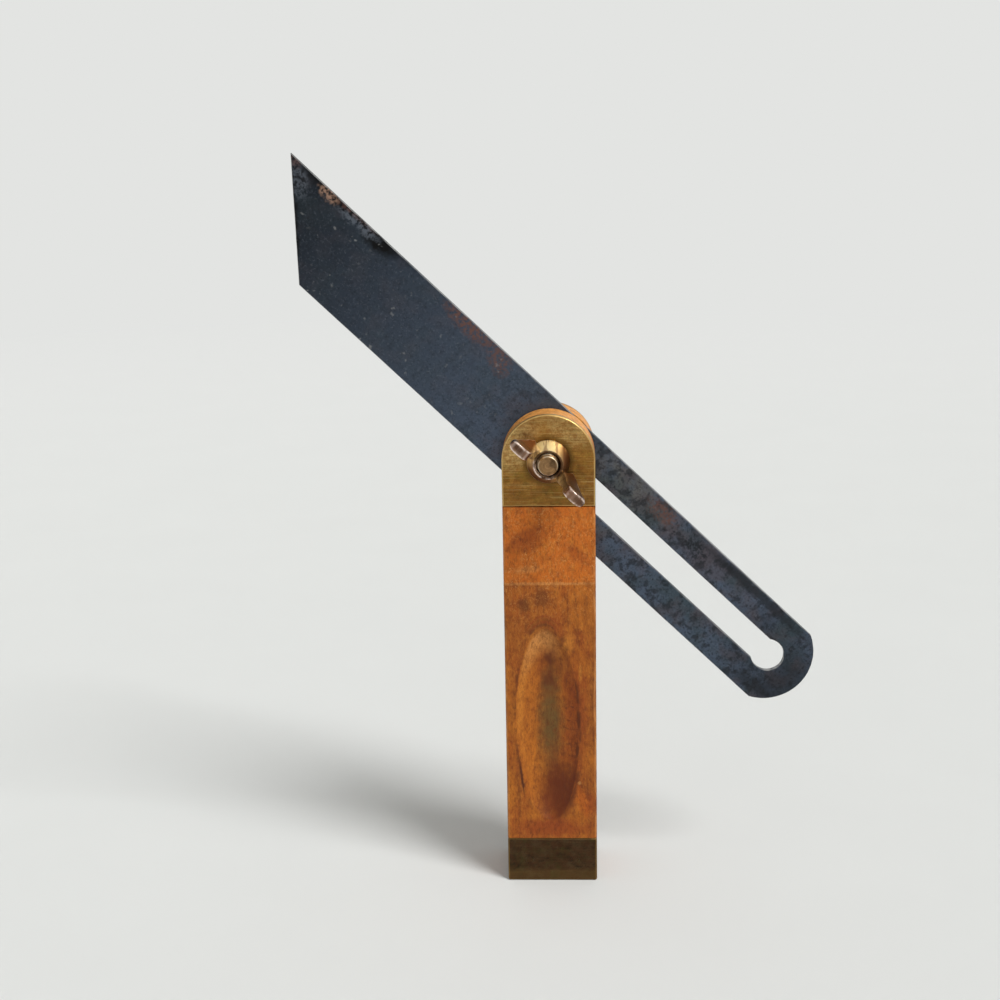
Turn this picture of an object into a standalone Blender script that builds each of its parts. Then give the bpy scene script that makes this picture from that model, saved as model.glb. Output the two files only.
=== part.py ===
"""A sliding bevel: a wooden stock split by a kerf, brass plates let into both faces of its head,
a brass tip on its butt, and a slotted steel blade held by a clamp screw and a wing nut.

The origin is the centre of the butt face, on which the tool stands. +Z runs up the stock, +X to the
right and +Y to the back, so that the wing nut faces -Y.
"""

import bpy
import bmesh
from math import asin, cos, pi, radians, sin

# Stock
STOCK_LENGTH = 0.1357
STOCK_WIDTH = 0.0254
STOCK_THICKNESS = 0.0215
KERF_WIDTH = 0.0024
KERF_HEEL = 0.0070
EDGE_EASE = 0.0005

# Hollow gouged in each face of the stock for the thumb and finger. Its floor is a narrow strip, which
# stops short of both ends. The front hollow lies a little to the left and leans to the left.
SCOOP_LENGTH = 0.0575
SCOOP_WIDTH = 0.0174
SCOOP_DEPTH = 0.0022
SCOOP_FLOOR_WIDTH = 0.0016
SCOOP_END_SLOPE = 0.0110
SCOOP_ABOVE_TIP = 0.0053
SCOOP_ASIDE = 0.0009
SCOOP_LEAN = radians(1.6)
SCOOP_ROUNDNESS = 2.6

# Brass plates at the head
PLATE_THICKNESS = 0.0015
PLATE_BELOW_PIVOT = 0.01275
PLATE_PIN_DIAMETER = 0.0020
PLATE_PIN_LENGTH = 0.0062
PLATE_PIN_INSET = 0.0040

# Brass tip on the butt
TIP_HEIGHT = 0.0130
TIP_WALL = 0.0014
TIP_ROUND = 0.0005
TIP_PIN_DIAMETER = 0.0022
TIP_PIN_SPACING = 0.0130

# Blade
BLADE_LENGTH = 0.2032
BLADE_WIDTH = 0.0248
BLADE_THICKNESS = 0.0018
BLADE_END_RADIUS = 0.0138
BLADE_BEVEL_ANGLE = radians(45.0)
SLOT_WIDTH = 0.0076
SLOT_LENGTH = 0.0911
KEYHOLE_DIAMETER = 0.00925
KEYHOLE_FROM_END = 0.0126

# Rest pose of the blade: its fall to the right, and how far the screw stands from the slot's inner end
BLADE_FALL = radians(43.8)
SCREW_IN_SLOT = 0.0065

# Clamp screw
SHANK_DIAMETER = 0.0090
THREAD_DIAMETER = 0.0063
END_STEP = 0.0005
END_LENGTH = 0.0022
END_CHAMFER = 0.0003
HEAD_DIAMETER = 0.0135
HEAD_RIM = 0.0004
SCREW_PROUD = 0.0013
DRIVER_SLOT_WIDTH = 0.0014
DRIVER_SLOT_DEPTH = 0.0013

# Wing nut
NUT_HEIGHT = 0.0050
NUT_BASE_DIAMETER = 0.0118
NUT_TOP_DIAMETER = 0.0084
NUT_CHAMFER = 0.0004
NUT_FOOT = 0.0008
WING_REACH = 0.0126
WING_HEIGHT = 0.0170
WING_THICKNESS = 0.0022
WING_ROOT_THICKNESS = 0.0046
WING_ROOT_WALL = 0.0004
WING_ROUND = 0.0005
NUT_TURN = radians(42.0)

# Clearances: between fitted pieces, between running pieces, and beside the flats of the screw
FIT_GAP = 0.0002
RUN_GAP = 0.0003
FLAT_GAP = 0.00015

# How far a cutter runs past the surface that it cuts
OVERRUN = 0.0020

# Outline of a wing, counter-clockwise, as shares of the way out from its root and of its height
WING_OUTLINE_SHARES = (
    (0.00, 0.05),
    (0.20, 0.06),
    (0.45, 0.22),
    (0.69, 0.44),
    (0.91, 0.68),
    (1.00, 0.85),
    (0.97, 0.95),
    (0.85, 1.00),
    (0.45, 1.00),
    (0.35, 0.95),
    (0.26, 0.72),
    (0.15, 0.46),
    (0.00, 0.29),
)

# Counts of flats on round work
TURNED_STEPS = 48
PIN_STEPS = 24
ARC_STEPS = 36
SCOOP_STEPS = 40
SCOOP_LEVELS = 7
WING_STEPS = 3
ROUND_STEPS = 2

# Angle above which an edge of round work stays sharp
SHARP_ANGLE = radians(32.0)
MERGE_DISTANCE = 0.000005

# Sizes that follow from the ones above
PIVOT_HEIGHT = STOCK_LENGTH - STOCK_WIDTH / 2
PLATE_LOW = PIVOT_HEIGHT - PLATE_BELOW_PIVOT
KERF_FLOOR = TIP_HEIGHT + KERF_HEEL
STOCK_FACE = STOCK_THICKNESS / 2
PLATE_SEAT = STOCK_FACE - PLATE_THICKNESS
FLATS_WIDTH = SLOT_WIDTH - 2 * FLAT_GAP
NUT_BORE = THREAD_DIAMETER / 2 + RUN_GAP
KEYHOLE_FROM_PIVOT = SLOT_LENGTH - SCREW_IN_SLOT

# Local x and y axes lie on the front view, with local z towards the viewer, or on the side view
FRONT_VIEW = (radians(90.0), 0.0, 0.0)
REAR_VIEW = (radians(90.0), 0.0, radians(180.0))
SIDE_VIEW = (radians(90.0), 0.0, radians(90.0))


# Scene and collections

def clear_scene():
    for obj in list(bpy.data.objects):
        bpy.data.objects.remove(obj, do_unlink=True)


def new_collection(name):
    collection = bpy.data.collections.new(name)
    bpy.context.scene.collection.children.link(collection)
    return collection


def new_empty(name, location, rotation):
    empty = bpy.data.objects.new(name, None)
    empty.empty_display_size = STOCK_WIDTH / 2
    empty.location = location
    empty.rotation_euler = rotation
    PARTS.objects.link(empty)
    return empty


def new_material(name, colour, roughness, metallic):
    material = bpy.data.materials.new(name)
    material.use_nodes = True
    shader = material.node_tree.nodes["Principled BSDF"]
    shader.inputs["Base Color"].default_value = (*colour, 1.0)
    shader.inputs["Roughness"].default_value = roughness
    shader.inputs["Metallic"].default_value = metallic
    material.diffuse_color = (*colour, 1.0)
    return material


# Outlines

def arc(centre, radius, start, end, steps=ARC_STEPS):
    """Points from the start angle to the end angle, both included."""
    angles = [start + (end - start) * step / steps for step in range(steps + 1)]
    return [(centre[0] + radius * cos(a), centre[1] + radius * sin(a)) for a in angles]


def round_headed(half_width, centre_height, low):
    """A strip with a half-round head, seen from the front."""
    foot = [(-half_width, low), (half_width, low)]
    return foot + arc((0.0, centre_height), half_width, 0.0, pi)


# Solids

def finish_mesh(obj, material, smooth):
    mesh = obj.data
    if material is not None:
        mesh.materials.clear()
        mesh.materials.append(material)
    if smooth:
        mesh.shade_smooth()
        mesh.set_sharp_from_angle(angle=SHARP_ANGLE)


def place(obj, parent, location, rotation):
    obj.parent = parent
    obj.location = location
    obj.rotation_euler = rotation


def mesh_object(name, mesh, collection):
    obj = bpy.data.objects.new(name, mesh)
    collection.objects.link(obj)
    return obj


def extruded(name, outlines, depth, collection, flat_caps=True, smooth_curve=False):
    """The first outline, less the others, as a solid from local z = 0 up to its depth."""
    curve = bpy.data.curves.new(name + "_outline", "CURVE")
    curve.dimensions = "2D"
    curve.fill_mode = "BOTH"
    curve.extrude = depth / 2
    for points in outlines:
        if smooth_curve:
            spline = curve.splines.new("BEZIER")
            spline.resolution_u = WING_STEPS
            spline.bezier_points.add(len(points) - 1)
            for knot, (x, y) in zip(spline.bezier_points, points):
                knot.co = (x, y, 0.0)
                knot.handle_left_type = "AUTO"
                knot.handle_right_type = "AUTO"
        else:
            spline = curve.splines.new("POLY")
            spline.points.add(len(points) - 1)
            for knot, (x, y) in zip(spline.points, points):
                knot.co = (x, y, 0.0, 1.0)
        spline.use_cyclic_u = True
    source = bpy.data.objects.new(name + "_outline", curve)
    collection.objects.link(source)
    bpy.context.view_layer.update()
    evaluated = source.evaluated_get(bpy.context.evaluated_depsgraph_get())
    mesh = bpy.data.meshes.new_from_object(evaluated)
    bpy.data.objects.remove(source, do_unlink=True)
    mesh.name = name

    work = bmesh.new()
    work.from_mesh(mesh)
    bmesh.ops.remove_doubles(work, verts=work.verts, dist=MERGE_DISTANCE)
    bmesh.ops.translate(work, verts=work.verts, vec=(0.0, 0.0, depth / 2))
    if flat_caps:
        bmesh.ops.dissolve_limit(work, angle_limit=radians(0.1), verts=work.verts, edges=work.edges)
    bmesh.ops.recalc_face_normals(work, faces=work.faces)
    work.to_mesh(mesh)
    work.free()
    return mesh_object(name, mesh, collection)


def divide_flats(obj, at):
    """Divides a slotted bar's flat faces across it at a local x, and from there to +x along its slot,
    with no other edges left in them: its free end is then one plain face on either side."""
    work = bmesh.new()
    work.from_mesh(obj.data)
    everything = work.verts[:] + work.edges[:] + work.faces[:]
    bmesh.ops.bisect_plane(work, geom=everything, dist=MERGE_DISTANCE,
                           plane_co=(at, 0.0, 0.0), plane_no=(1.0, 0.0, 0.0))
    faces = [face for face in work.faces if face.calc_center_median().x > at]
    edges = {edge for face in faces for edge in face.edges}
    verts = {vert for face in faces for vert in face.verts}
    bmesh.ops.bisect_plane(work, geom=faces + list(edges) + list(verts), dist=MERGE_DISTANCE,
                           plane_co=(0.0, 0.0, 0.0), plane_no=(0.0, 1.0, 0.0))

    def is_seam(edge):
        ends = [vert.co for vert in edge.verts]
        across = all(abs(end.x - at) < MERGE_DISTANCE for end in ends)
        along = all(abs(end.y) < MERGE_DISTANCE and end.x > at - MERGE_DISTANCE for end in ends)
        return across or along

    joined = [edge for edge in work.edges if not is_seam(edge)]
    bmesh.ops.dissolve_limit(work, angle_limit=radians(0.1), verts=work.verts, edges=joined)
    work.to_mesh(obj.data)
    work.free()


def ease_front(obj, depth, width):
    """Rounds the rim of the face at local z = depth."""
    work = bmesh.new()
    work.from_mesh(obj.data)
    rim = [edge for edge in work.edges
           if all(abs(vert.co.z - depth) < MERGE_DISTANCE for vert in edge.verts)]
    bmesh.ops.bevel(work, geom=rim, offset=width, segments=ROUND_STEPS, profile=0.5,
                    affect="EDGES", clamp_overlap=True, material=-1)
    work.to_mesh(obj.data)
    work.free()


def turned(name, profile, collection, steps=TURNED_STEPS, closed=False):
    """Points of radius and height, from the top down the outer side, turned about local z."""
    mesh = bpy.data.meshes.new(name)
    count = len(profile)
    edges = [(i, i + 1) for i in range(count - 1)]
    if closed:
        edges.append((count - 1, 0))
    mesh.from_pydata([(radius, 0.0, height) for radius, height in profile], edges, [])
    obj = mesh_object(name, mesh, collection)
    screw = obj.modifiers.new("turn", "SCREW")
    screw.axis = "Z"
    screw.steps = steps
    screw.render_steps = steps
    screw.use_merge_vertices = True
    screw.merge_threshold = MERGE_DISTANCE
    screw.use_smooth_shade = False
    bpy.context.view_layer.update()
    evaluated = obj.evaluated_get(bpy.context.evaluated_depsgraph_get())
    obj.data = bpy.data.meshes.new_from_object(evaluated)
    obj.modifiers.clear()
    bpy.data.meshes.remove(mesh)
    obj.data.name = name
    return obj


def cylinder(name, diameter, depth, collection, steps=PIN_STEPS):
    """A round bar from local z = 0 up to its depth."""
    mesh = bpy.data.meshes.new(name)
    work = bmesh.new()
    bmesh.ops.create_cone(work, cap_ends=True, cap_tris=False, segments=steps,
                          radius1=diameter / 2, radius2=diameter / 2, depth=depth)
    bmesh.ops.translate(work, verts=work.verts, vec=(0.0, 0.0, depth / 2))
    work.to_mesh(mesh)
    work.free()
    return mesh_object(name, mesh, collection)


def box(name, size, collection):
    """A block centred on its own origin."""
    mesh = bpy.data.meshes.new(name)
    work = bmesh.new()
    bmesh.ops.create_cube(work, size=1.0)
    bmesh.ops.scale(work, vec=size, verts=work.verts)
    work.to_mesh(mesh)
    work.free()
    return mesh_object(name, mesh, collection)


def combine(obj, tool, operation):
    """Adds a Boolean with a shape that is itself no piece of the tool."""
    tool.hide_render = True
    tool.display_type = "WIRE"
    boolean = obj.modifiers.new(tool.name, "BOOLEAN")
    boolean.operation = operation
    boolean.solver = "EXACT"
    boolean.object = tool


def add_bevel(obj, width, segments=ROUND_STEPS):
    bevel = obj.modifiers.new("ease", "BEVEL")
    bevel.width = width
    bevel.segments = segments
    bevel.limit_method = "ANGLE"
    bevel.angle_limit = radians(60.0)


# Holes shared by the pieces that lie on one axis

def pin_places():
    """Where the pins of one plate stand, seen from the front, about the pivot: two in the lower
    corners, and two midway between the screw's head and the round rim."""
    reach = STOCK_WIDTH / 2 - PLATE_PIN_INSET
    low = PLATE_PIN_INSET - PLATE_BELOW_PIVOT
    high = (STOCK_WIDTH + HEAD_DIAMETER) / 4 * sin(pi / 4)
    return [(-reach, low), (reach, low), (-high, high), (high, high)]


def screw_profile(grow, front, rear_overrun):
    """The clamp screw's head and shank, with all radii grown by a clearance."""
    shank = SHANK_DIAMETER / 2 + grow
    head = HEAD_DIAMETER / 2 + grow
    rim = HEAD_RIM - STOCK_FACE
    rear = -STOCK_FACE - rear_overrun
    return [
        (0.0, front),
        (shank, front),
        (shank, rim + head - shank),
        (head, rim),
        (head, rear),
        (0.0, rear),
    ]


def screw_hole(name):
    """The countersunk hole through the rear plate and both cheeks, up to the front plate."""
    hole = turned(name, screw_profile(RUN_GAP, STOCK_FACE, OVERRUN), CUTTERS)
    place(hole, PIVOT, (0.0, 0.0, 0.0), (0.0, 0.0, 0.0))
    return hole


def pin_holes(parent, side):
    """One blind hole for each pin of a plate, a little deeper than its pin."""
    holes = []
    for number, (x, y) in enumerate(pin_places(), start=1):
        depth = PLATE_PIN_LENGTH + FIT_GAP + OVERRUN
        hole = cylinder(f"{side}_pin_hole_{number}", PLATE_PIN_DIAMETER + 2 * FIT_GAP, depth, CUTTERS)
        place(hole, parent, (x, y, STOCK_FACE - PLATE_PIN_LENGTH - FIT_GAP), (0.0, 0.0, 0.0))
        holes.append(hole)
    return holes


def tip_pin_holes():
    holes = []
    for number, share in enumerate((-0.5, 0.5), start=1):
        depth = STOCK_THICKNESS + 2 * OVERRUN
        hole = cylinder(f"tip_pin_hole_{number}", TIP_PIN_DIAMETER + 2 * FIT_GAP, depth, CUTTERS)
        place(hole, None, (share * TIP_PIN_SPACING, depth / 2, TIP_HEIGHT / 2), FRONT_VIEW)
        holes.append(hole)
    return holes


# Stock

def scoop_levels():
    """Width, length and depth of the ovals that make up a hollow, from its rim down to its floor. The
    walls are steepest at the rim."""
    levels = []
    for step in range(SCOOP_LEVELS + 1):
        inwards = step / SCOOP_LEVELS
        width = SCOOP_WIDTH + (SCOOP_FLOOR_WIDTH - SCOOP_WIDTH) * inwards
        length = SCOOP_LENGTH - 2 * SCOOP_END_SLOPE * inwards
        depth = SCOOP_DEPTH * (1.0 - (1.0 - inwards) ** SCOOP_ROUNDNESS)
        levels.append((width, length, depth))
    return levels


def fork_outline():
    """The wood seen from the side: rebated for the plates and the tip, and split by the kerf."""
    tip_seat = STOCK_FACE - TIP_WALL - FIT_GAP
    plate_seat = PLATE_SEAT - FIT_GAP
    tip_edge = TIP_HEIGHT + FIT_GAP
    plate_edge = PLATE_LOW - FIT_GAP
    top = STOCK_LENGTH + OVERRUN
    back = [
        (tip_seat, TIP_WALL + FIT_GAP),
        (tip_seat, tip_edge),
        (STOCK_FACE, tip_edge),
        (STOCK_FACE, plate_edge),
        (plate_seat, plate_edge),
        (plate_seat, top),
        (KERF_WIDTH / 2, top),
        (KERF_WIDTH / 2, KERF_FLOOR),
    ]
    front = [(-y, z) for y, z in reversed(back)]
    return back + front


def make_scoop(side, parent, aside, lean):
    """The shape that cuts the hollow in one face: ovals one inside the other, each deeper than the
    last, from local z = 0 at the face down."""
    mesh = bpy.data.meshes.new(f"{side}_scoop")
    work = bmesh.new()
    bmesh.ops.create_circle(work, cap_ends=True, segments=SCOOP_STEPS, radius=1.0)
    bmesh.ops.scale(work, vec=(SCOOP_WIDTH / 2, SCOOP_LENGTH / 2, 1.0), verts=work.verts)
    bmesh.ops.translate(work, vec=(0.0, 0.0, OVERRUN), verts=work.verts)
    grown = bmesh.ops.extrude_face_region(work, geom=work.faces[:])["geom"]
    floor = next(item for item in grown if isinstance(item, bmesh.types.BMFace))
    bmesh.ops.translate(work, vec=(0.0, 0.0, -OVERRUN), verts=floor.verts)
    levels = scoop_levels()
    for (old_width, old_length, old_depth), (width, length, depth) in zip(levels, levels[1:]):
        floor = bmesh.ops.extrude_discrete_faces(work, faces=[floor])["faces"][0]
        bmesh.ops.scale(work, vec=(width / old_width, length / old_length, 1.0), verts=floor.verts)
        bmesh.ops.translate(work, vec=(0.0, 0.0, old_depth - depth), verts=floor.verts)
    bmesh.ops.triangulate(work, faces=work.faces)
    bmesh.ops.recalc_face_normals(work, faces=work.faces)
    work.to_mesh(mesh)
    work.free()
    scoop = mesh_object(f"{side}_scoop", mesh, CUTTERS)
    height = TIP_HEIGHT + SCOOP_ABOVE_TIP + SCOOP_LENGTH / 2
    place(scoop, parent, (-aside, height - PIVOT_HEIGHT, STOCK_FACE), (0.0, 0.0, lean))
    return scoop


def make_stock():
    stock = extruded("stock", [fork_outline()], STOCK_WIDTH + 2 * OVERRUN, PARTS)
    place(stock, None, (-STOCK_WIDTH / 2 - OVERRUN, 0.0, 0.0), SIDE_VIEW)

    silhouette = round_headed(STOCK_WIDTH / 2, PIVOT_HEIGHT, -OVERRUN)
    head = extruded("stock_silhouette", [silhouette], STOCK_THICKNESS, CUTTERS)
    place(head, None, (0.0, STOCK_FACE, 0.0), FRONT_VIEW)
    add_bevel(head, EDGE_EASE)
    combine(stock, head, "INTERSECT")

    combine(stock, screw_hole("stock_screw_hole"), "DIFFERENCE")
    for hole in pin_holes(PIVOT, "front") + pin_holes(REAR_PIVOT, "rear") + tip_pin_holes():
        combine(stock, hole, "DIFFERENCE")
    combine(stock, make_scoop("front", PIVOT, SCOOP_ASIDE, SCOOP_LEAN), "DIFFERENCE")
    combine(stock, make_scoop("rear", REAR_PIVOT, 0.0, 0.0), "DIFFERENCE")
    finish_mesh(stock, WOOD, smooth=True)
    return stock


# Brass plates of the head, with their pins

def make_plate(name, parent, holes):
    outline = round_headed(STOCK_WIDTH / 2, 0.0, -PLATE_BELOW_PIVOT)
    plate = extruded(name, [outline], PLATE_THICKNESS, PARTS)
    ease_front(plate, PLATE_THICKNESS, EDGE_EASE)
    place(plate, parent, (0.0, 0.0, PLATE_SEAT), (0.0, 0.0, 0.0))
    for hole in holes:
        combine(plate, hole, "DIFFERENCE")
    finish_mesh(plate, BRASS, smooth=True)
    return plate


def make_plate_pins(side, parent):
    for number, (x, y) in enumerate(pin_places(), start=1):
        pin = cylinder(f"{side}_plate_pin_{number}", PLATE_PIN_DIAMETER, PLATE_PIN_LENGTH, PARTS)
        place(pin, parent, (x, y, STOCK_FACE - PLATE_PIN_LENGTH), (0.0, 0.0, 0.0))
        finish_mesh(pin, BRASS, smooth=True)


def make_front_plate():
    depth = PLATE_THICKNESS + 2 * OVERRUN
    bore = cylinder("front_plate_bore", 2 * NUT_BORE, depth, CUTTERS, TURNED_STEPS)
    place(bore, PIVOT, (0.0, 0.0, PLATE_SEAT - OVERRUN), (0.0, 0.0, 0.0))
    make_plate("front_bolster", PIVOT, [bore] + pin_holes(PIVOT, "front_bolster"))


def make_rear_plate():
    holes = [screw_hole("rear_bolster_countersink")] + pin_holes(REAR_PIVOT, "rear_bolster")
    make_plate("rear_bolster", REAR_PIVOT, holes)


# Brass tip of the butt, with its pins

def make_butt_tip():
    wall = STOCK_FACE - TIP_WALL
    back = [(STOCK_FACE, 0.0), (STOCK_FACE, TIP_HEIGHT), (wall, TIP_HEIGHT), (wall, TIP_WALL)]
    outline = back + [(-y, z) for y, z in reversed(back)]
    tip = extruded("butt_tip", [outline], STOCK_WIDTH, PARTS)
    place(tip, None, (-STOCK_WIDTH / 2, 0.0, 0.0), SIDE_VIEW)
    add_bevel(tip, TIP_ROUND)
    for hole in tip_pin_holes():
        combine(tip, hole, "DIFFERENCE")
    finish_mesh(tip, BRASS, smooth=True)


def make_tip_pins():
    for number, share in enumerate((-0.5, 0.5), start=1):
        pin = cylinder(f"butt_pin_{number}", TIP_PIN_DIAMETER, STOCK_THICKNESS, PARTS)
        place(pin, None, (share * TIP_PIN_SPACING, STOCK_FACE, TIP_HEIGHT / 2), FRONT_VIEW)
        finish_mesh(pin, BRASS, smooth=True)


# Blade

def blade_rim():
    """Seen from the front with the round end at +x and the keyhole's centre at the origin."""
    half = BLADE_WIDTH / 2
    apex = KEYHOLE_FROM_END
    tip = apex - BLADE_LENGTH
    spread = asin(min(half / BLADE_END_RADIUS, 1.0))
    bevelled = [(tip, half), (tip + BLADE_WIDTH * cos(BLADE_BEVEL_ANGLE) / sin(BLADE_BEVEL_ANGLE), -half)]
    return bevelled + arc((apex - BLADE_END_RADIUS, 0.0), BLADE_END_RADIUS, -spread, spread)


def blade_slot():
    """A long slot that ends in a wider keyhole."""
    half = SLOT_WIDTH / 2
    keyhole = KEYHOLE_DIAMETER / 2
    mouth = pi - asin(half / keyhole)
    wide = arc((0.0, 0.0), keyhole, -mouth, mouth)
    narrow = arc((-SLOT_LENGTH, 0.0), half, pi / 2, 3 * pi / 2, ARC_STEPS // 2)
    return wide + narrow


def make_blade():
    blade = extruded("blade", [blade_rim(), blade_slot()], BLADE_THICKNESS, PARTS, flat_caps=False)
    along = KEYHOLE_FROM_PIVOT
    clear_of_stock = STOCK_WIDTH / 2 + RUN_GAP
    divide_flats(blade, -along - clear_of_stock)
    at = (along * cos(BLADE_FALL), -along * sin(BLADE_FALL), -BLADE_THICKNESS / 2)
    place(blade, PIVOT, at, (0.0, 0.0, -BLADE_FALL))
    finish_mesh(blade, BLUED_STEEL, smooth=True)


# Clamp screw

def make_clamp_screw():
    thread = THREAD_DIAMETER / 2
    turned_down = thread - END_STEP
    end = STOCK_FACE + RUN_GAP + NUT_HEIGHT + SCREW_PROUD
    shoulder = PLATE_SEAT - RUN_GAP
    profile = [
        (0.0, end),
        (turned_down - END_CHAMFER, end),
        (turned_down, end - END_CHAMFER),
        (turned_down, end - END_LENGTH),
        (thread, end - END_LENGTH - END_STEP),
        (thread, shoulder),
    ] + screw_profile(0.0, shoulder, 0.0)[1:]
    screw = turned("clamp_screw", profile, PARTS)
    place(screw, PIVOT, (0.0, 0.0, 0.0), (0.0, 0.0, -BLADE_FALL))

    flat_depth = (SHANK_DIAMETER - FLATS_WIDTH) / 2 + OVERRUN
    for number, side in enumerate((-1, 1), start=1):
        size = (SHANK_DIAMETER + OVERRUN, flat_depth, KERF_WIDTH)
        flat = box(f"screw_flat_{number}", size, CUTTERS)
        out = side * (FLATS_WIDTH + flat_depth) / 2
        place(flat, PIVOT, (out * sin(BLADE_FALL), out * cos(BLADE_FALL), 0.0), (0.0, 0.0, -BLADE_FALL))
        combine(screw, flat, "DIFFERENCE")

    size = (HEAD_DIAMETER + OVERRUN, DRIVER_SLOT_WIDTH, DRIVER_SLOT_DEPTH + OVERRUN)
    notch = box("driver_slot", size, CUTTERS)
    floor = DRIVER_SLOT_DEPTH - STOCK_FACE
    place(notch, PIVOT, (0.0, 0.0, floor - size[2] / 2), (0.0, 0.0, -BLADE_FALL))
    combine(screw, notch, "DIFFERENCE")
    finish_mesh(screw, STEEL, smooth=True)


# Wing nut

def make_wing(name, turn):
    """A wing that grows thicker towards its root, as a cast one does."""
    root = NUT_BORE + WING_ROOT_WALL
    outline = [(root + out * (WING_REACH - root), up * WING_HEIGHT) for out, up in WING_OUTLINE_SHARES]
    wing = extruded(name, [outline], WING_THICKNESS, CUTTERS, smooth_curve=True)
    for vert in wing.data.vertices:
        inwards = (WING_REACH - vert.co.x) / (WING_REACH - root)
        thickness = WING_THICKNESS + (WING_ROOT_THICKNESS - WING_THICKNESS) * inwards
        vert.co.z = WING_THICKNESS / 2 + (vert.co.z / WING_THICKNESS - 0.5) * thickness
    add_bevel(wing, WING_ROUND)
    upright = (radians(90.0), 0.0, turn)
    sideways = WING_THICKNESS / 2
    at = (-sideways * sin(turn), sideways * cos(turn), 0.0)
    return wing, at, upright


def make_wing_nut():
    base = NUT_BASE_DIAMETER / 2
    top = NUT_TOP_DIAMETER / 2
    section = [
        (top, NUT_HEIGHT),
        (base, NUT_FOOT),
        (base, 0.0),
        (NUT_BORE, 0.0),
        (NUT_BORE, NUT_HEIGHT - NUT_CHAMFER),
        (NUT_BORE + NUT_CHAMFER, NUT_HEIGHT),
    ]
    nut = turned("wing_nut", section, PARTS, closed=True)
    seat = new_empty("nut_seat", (0.0, 0.0, STOCK_FACE + RUN_GAP), (0.0, 0.0, -NUT_TURN))
    seat.parent = PIVOT
    place(nut, seat, (0.0, 0.0, 0.0), (0.0, 0.0, 0.0))
    for number, turn in enumerate((0.0, pi), start=1):
        wing, at, upright = make_wing(f"wing_{number}", turn)
        place(wing, seat, at, upright)
        combine(nut, wing, "UNION")
    finish_mesh(nut, BRONZE, smooth=True)


clear_scene()
PARTS = new_collection("sliding_bevel")
CUTTERS = new_collection("cutters")
WOOD = new_material("stained_beech", (0.36, 0.115, 0.028), 0.42, 0.0)
BRASS = new_material("aged_brass", (0.34, 0.22, 0.06), 0.42, 1.0)
BRONZE = new_material("worn_cast_brass", (0.36, 0.22, 0.10), 0.38, 1.0)
STEEL = new_material("dull_steel", (0.30, 0.27, 0.24), 0.40, 1.0)
BLUED_STEEL = new_material("blued_steel", (0.045, 0.055, 0.07), 0.40, 0.9)

PIVOT = new_empty("pivot", (0.0, 0.0, PIVOT_HEIGHT), FRONT_VIEW)
REAR_PIVOT = new_empty("rear_pivot", (0.0, 0.0, PIVOT_HEIGHT), REAR_VIEW)

make_stock()
make_front_plate()
make_rear_plate()
make_plate_pins("front", PIVOT)
make_plate_pins("rear", REAR_PIVOT)
make_butt_tip()
make_tip_pins()
make_blade()
make_clamp_screw()
make_wing_nut()
bpy.context.view_layer.update()
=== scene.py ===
"""A sliding bevel dressed for its picture: a stained beech stock, brass plates and tip, a blued blade.

It is laid out as a Blender add-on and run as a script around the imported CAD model, whose pieces it
replaces one by one. Lengths are in metres. +Z runs up the stock and -Y faces the wing nut.
"""

from math import asin, atan2, pi, radians, sin, sqrt

import bmesh
import bpy
from bpy.props import FloatProperty, FloatVectorProperty, IntProperty, PointerProperty
from mathutils import Matrix, Vector, noise


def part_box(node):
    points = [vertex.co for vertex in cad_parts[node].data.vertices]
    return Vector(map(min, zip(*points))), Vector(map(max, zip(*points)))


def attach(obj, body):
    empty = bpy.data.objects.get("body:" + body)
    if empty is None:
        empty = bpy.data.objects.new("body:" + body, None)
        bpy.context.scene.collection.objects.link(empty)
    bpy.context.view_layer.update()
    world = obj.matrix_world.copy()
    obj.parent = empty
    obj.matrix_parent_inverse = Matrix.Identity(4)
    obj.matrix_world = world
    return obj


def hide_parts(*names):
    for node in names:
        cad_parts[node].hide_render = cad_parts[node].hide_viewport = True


bl_info = {
    "name": "Sliding Bevel",
    "version": (1, 0, 0),
    "blender": (4, 5, 0),
    "location": "View3D > Sidebar > Sliding Bevel",
    "description": "Makes the detailed pieces of a sliding bevel and the stage it stands on",
    "category": "Add Mesh",
}

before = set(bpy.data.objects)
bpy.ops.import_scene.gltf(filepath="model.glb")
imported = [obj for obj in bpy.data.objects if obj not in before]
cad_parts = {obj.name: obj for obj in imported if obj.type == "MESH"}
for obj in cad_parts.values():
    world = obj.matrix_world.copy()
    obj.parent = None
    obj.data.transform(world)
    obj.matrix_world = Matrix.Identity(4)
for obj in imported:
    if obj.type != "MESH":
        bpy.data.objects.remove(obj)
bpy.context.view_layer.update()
MILLIMETRE = 0.001

# Sizes taken from the CAD nodes
STOCK_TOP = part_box("stock")[1]
HALF_WIDTH = STOCK_TOP.x
FACE = STOCK_TOP.y
PIVOT = Vector((0.0, 0.0, STOCK_TOP.z - HALF_WIDTH))
SCREW_FRONT, SCREW_REAR = (corner.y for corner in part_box("clamp_screw"))
NUT_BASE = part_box("wing_nut")[1].y

# The front face and the pivot in the millimetres of the patterns
FRONT = -FACE / MILLIMETRE
PIVOT_HEIGHT = PIVOT.z / MILLIMETRE

Y_AXIS = Vector((0.0, 1.0, 0.0))
MERGE_DISTANCE = 0.000002
OVERRUN = 0.002
THROUGH = 4 * FACE
SHARP_ANGLE = radians(34.0)

# Play of the screw's shank and thread in their holes, on the diameter, and of its head, on the radius
SHANK_PLAY = 0.0008
THREAD_PLAY = 0.0006
HEAD_PLAY = 0.0001

# Rubbing of the stock's edges: its mean, how far it swings, spots per metre, and the noise's start
RUB_MEAN = 0.35
RUB_SWING = 1.3
RUB_SPOTS = 90.0
RUB_START = Vector((3.1, 0.0, 0.7))

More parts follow.
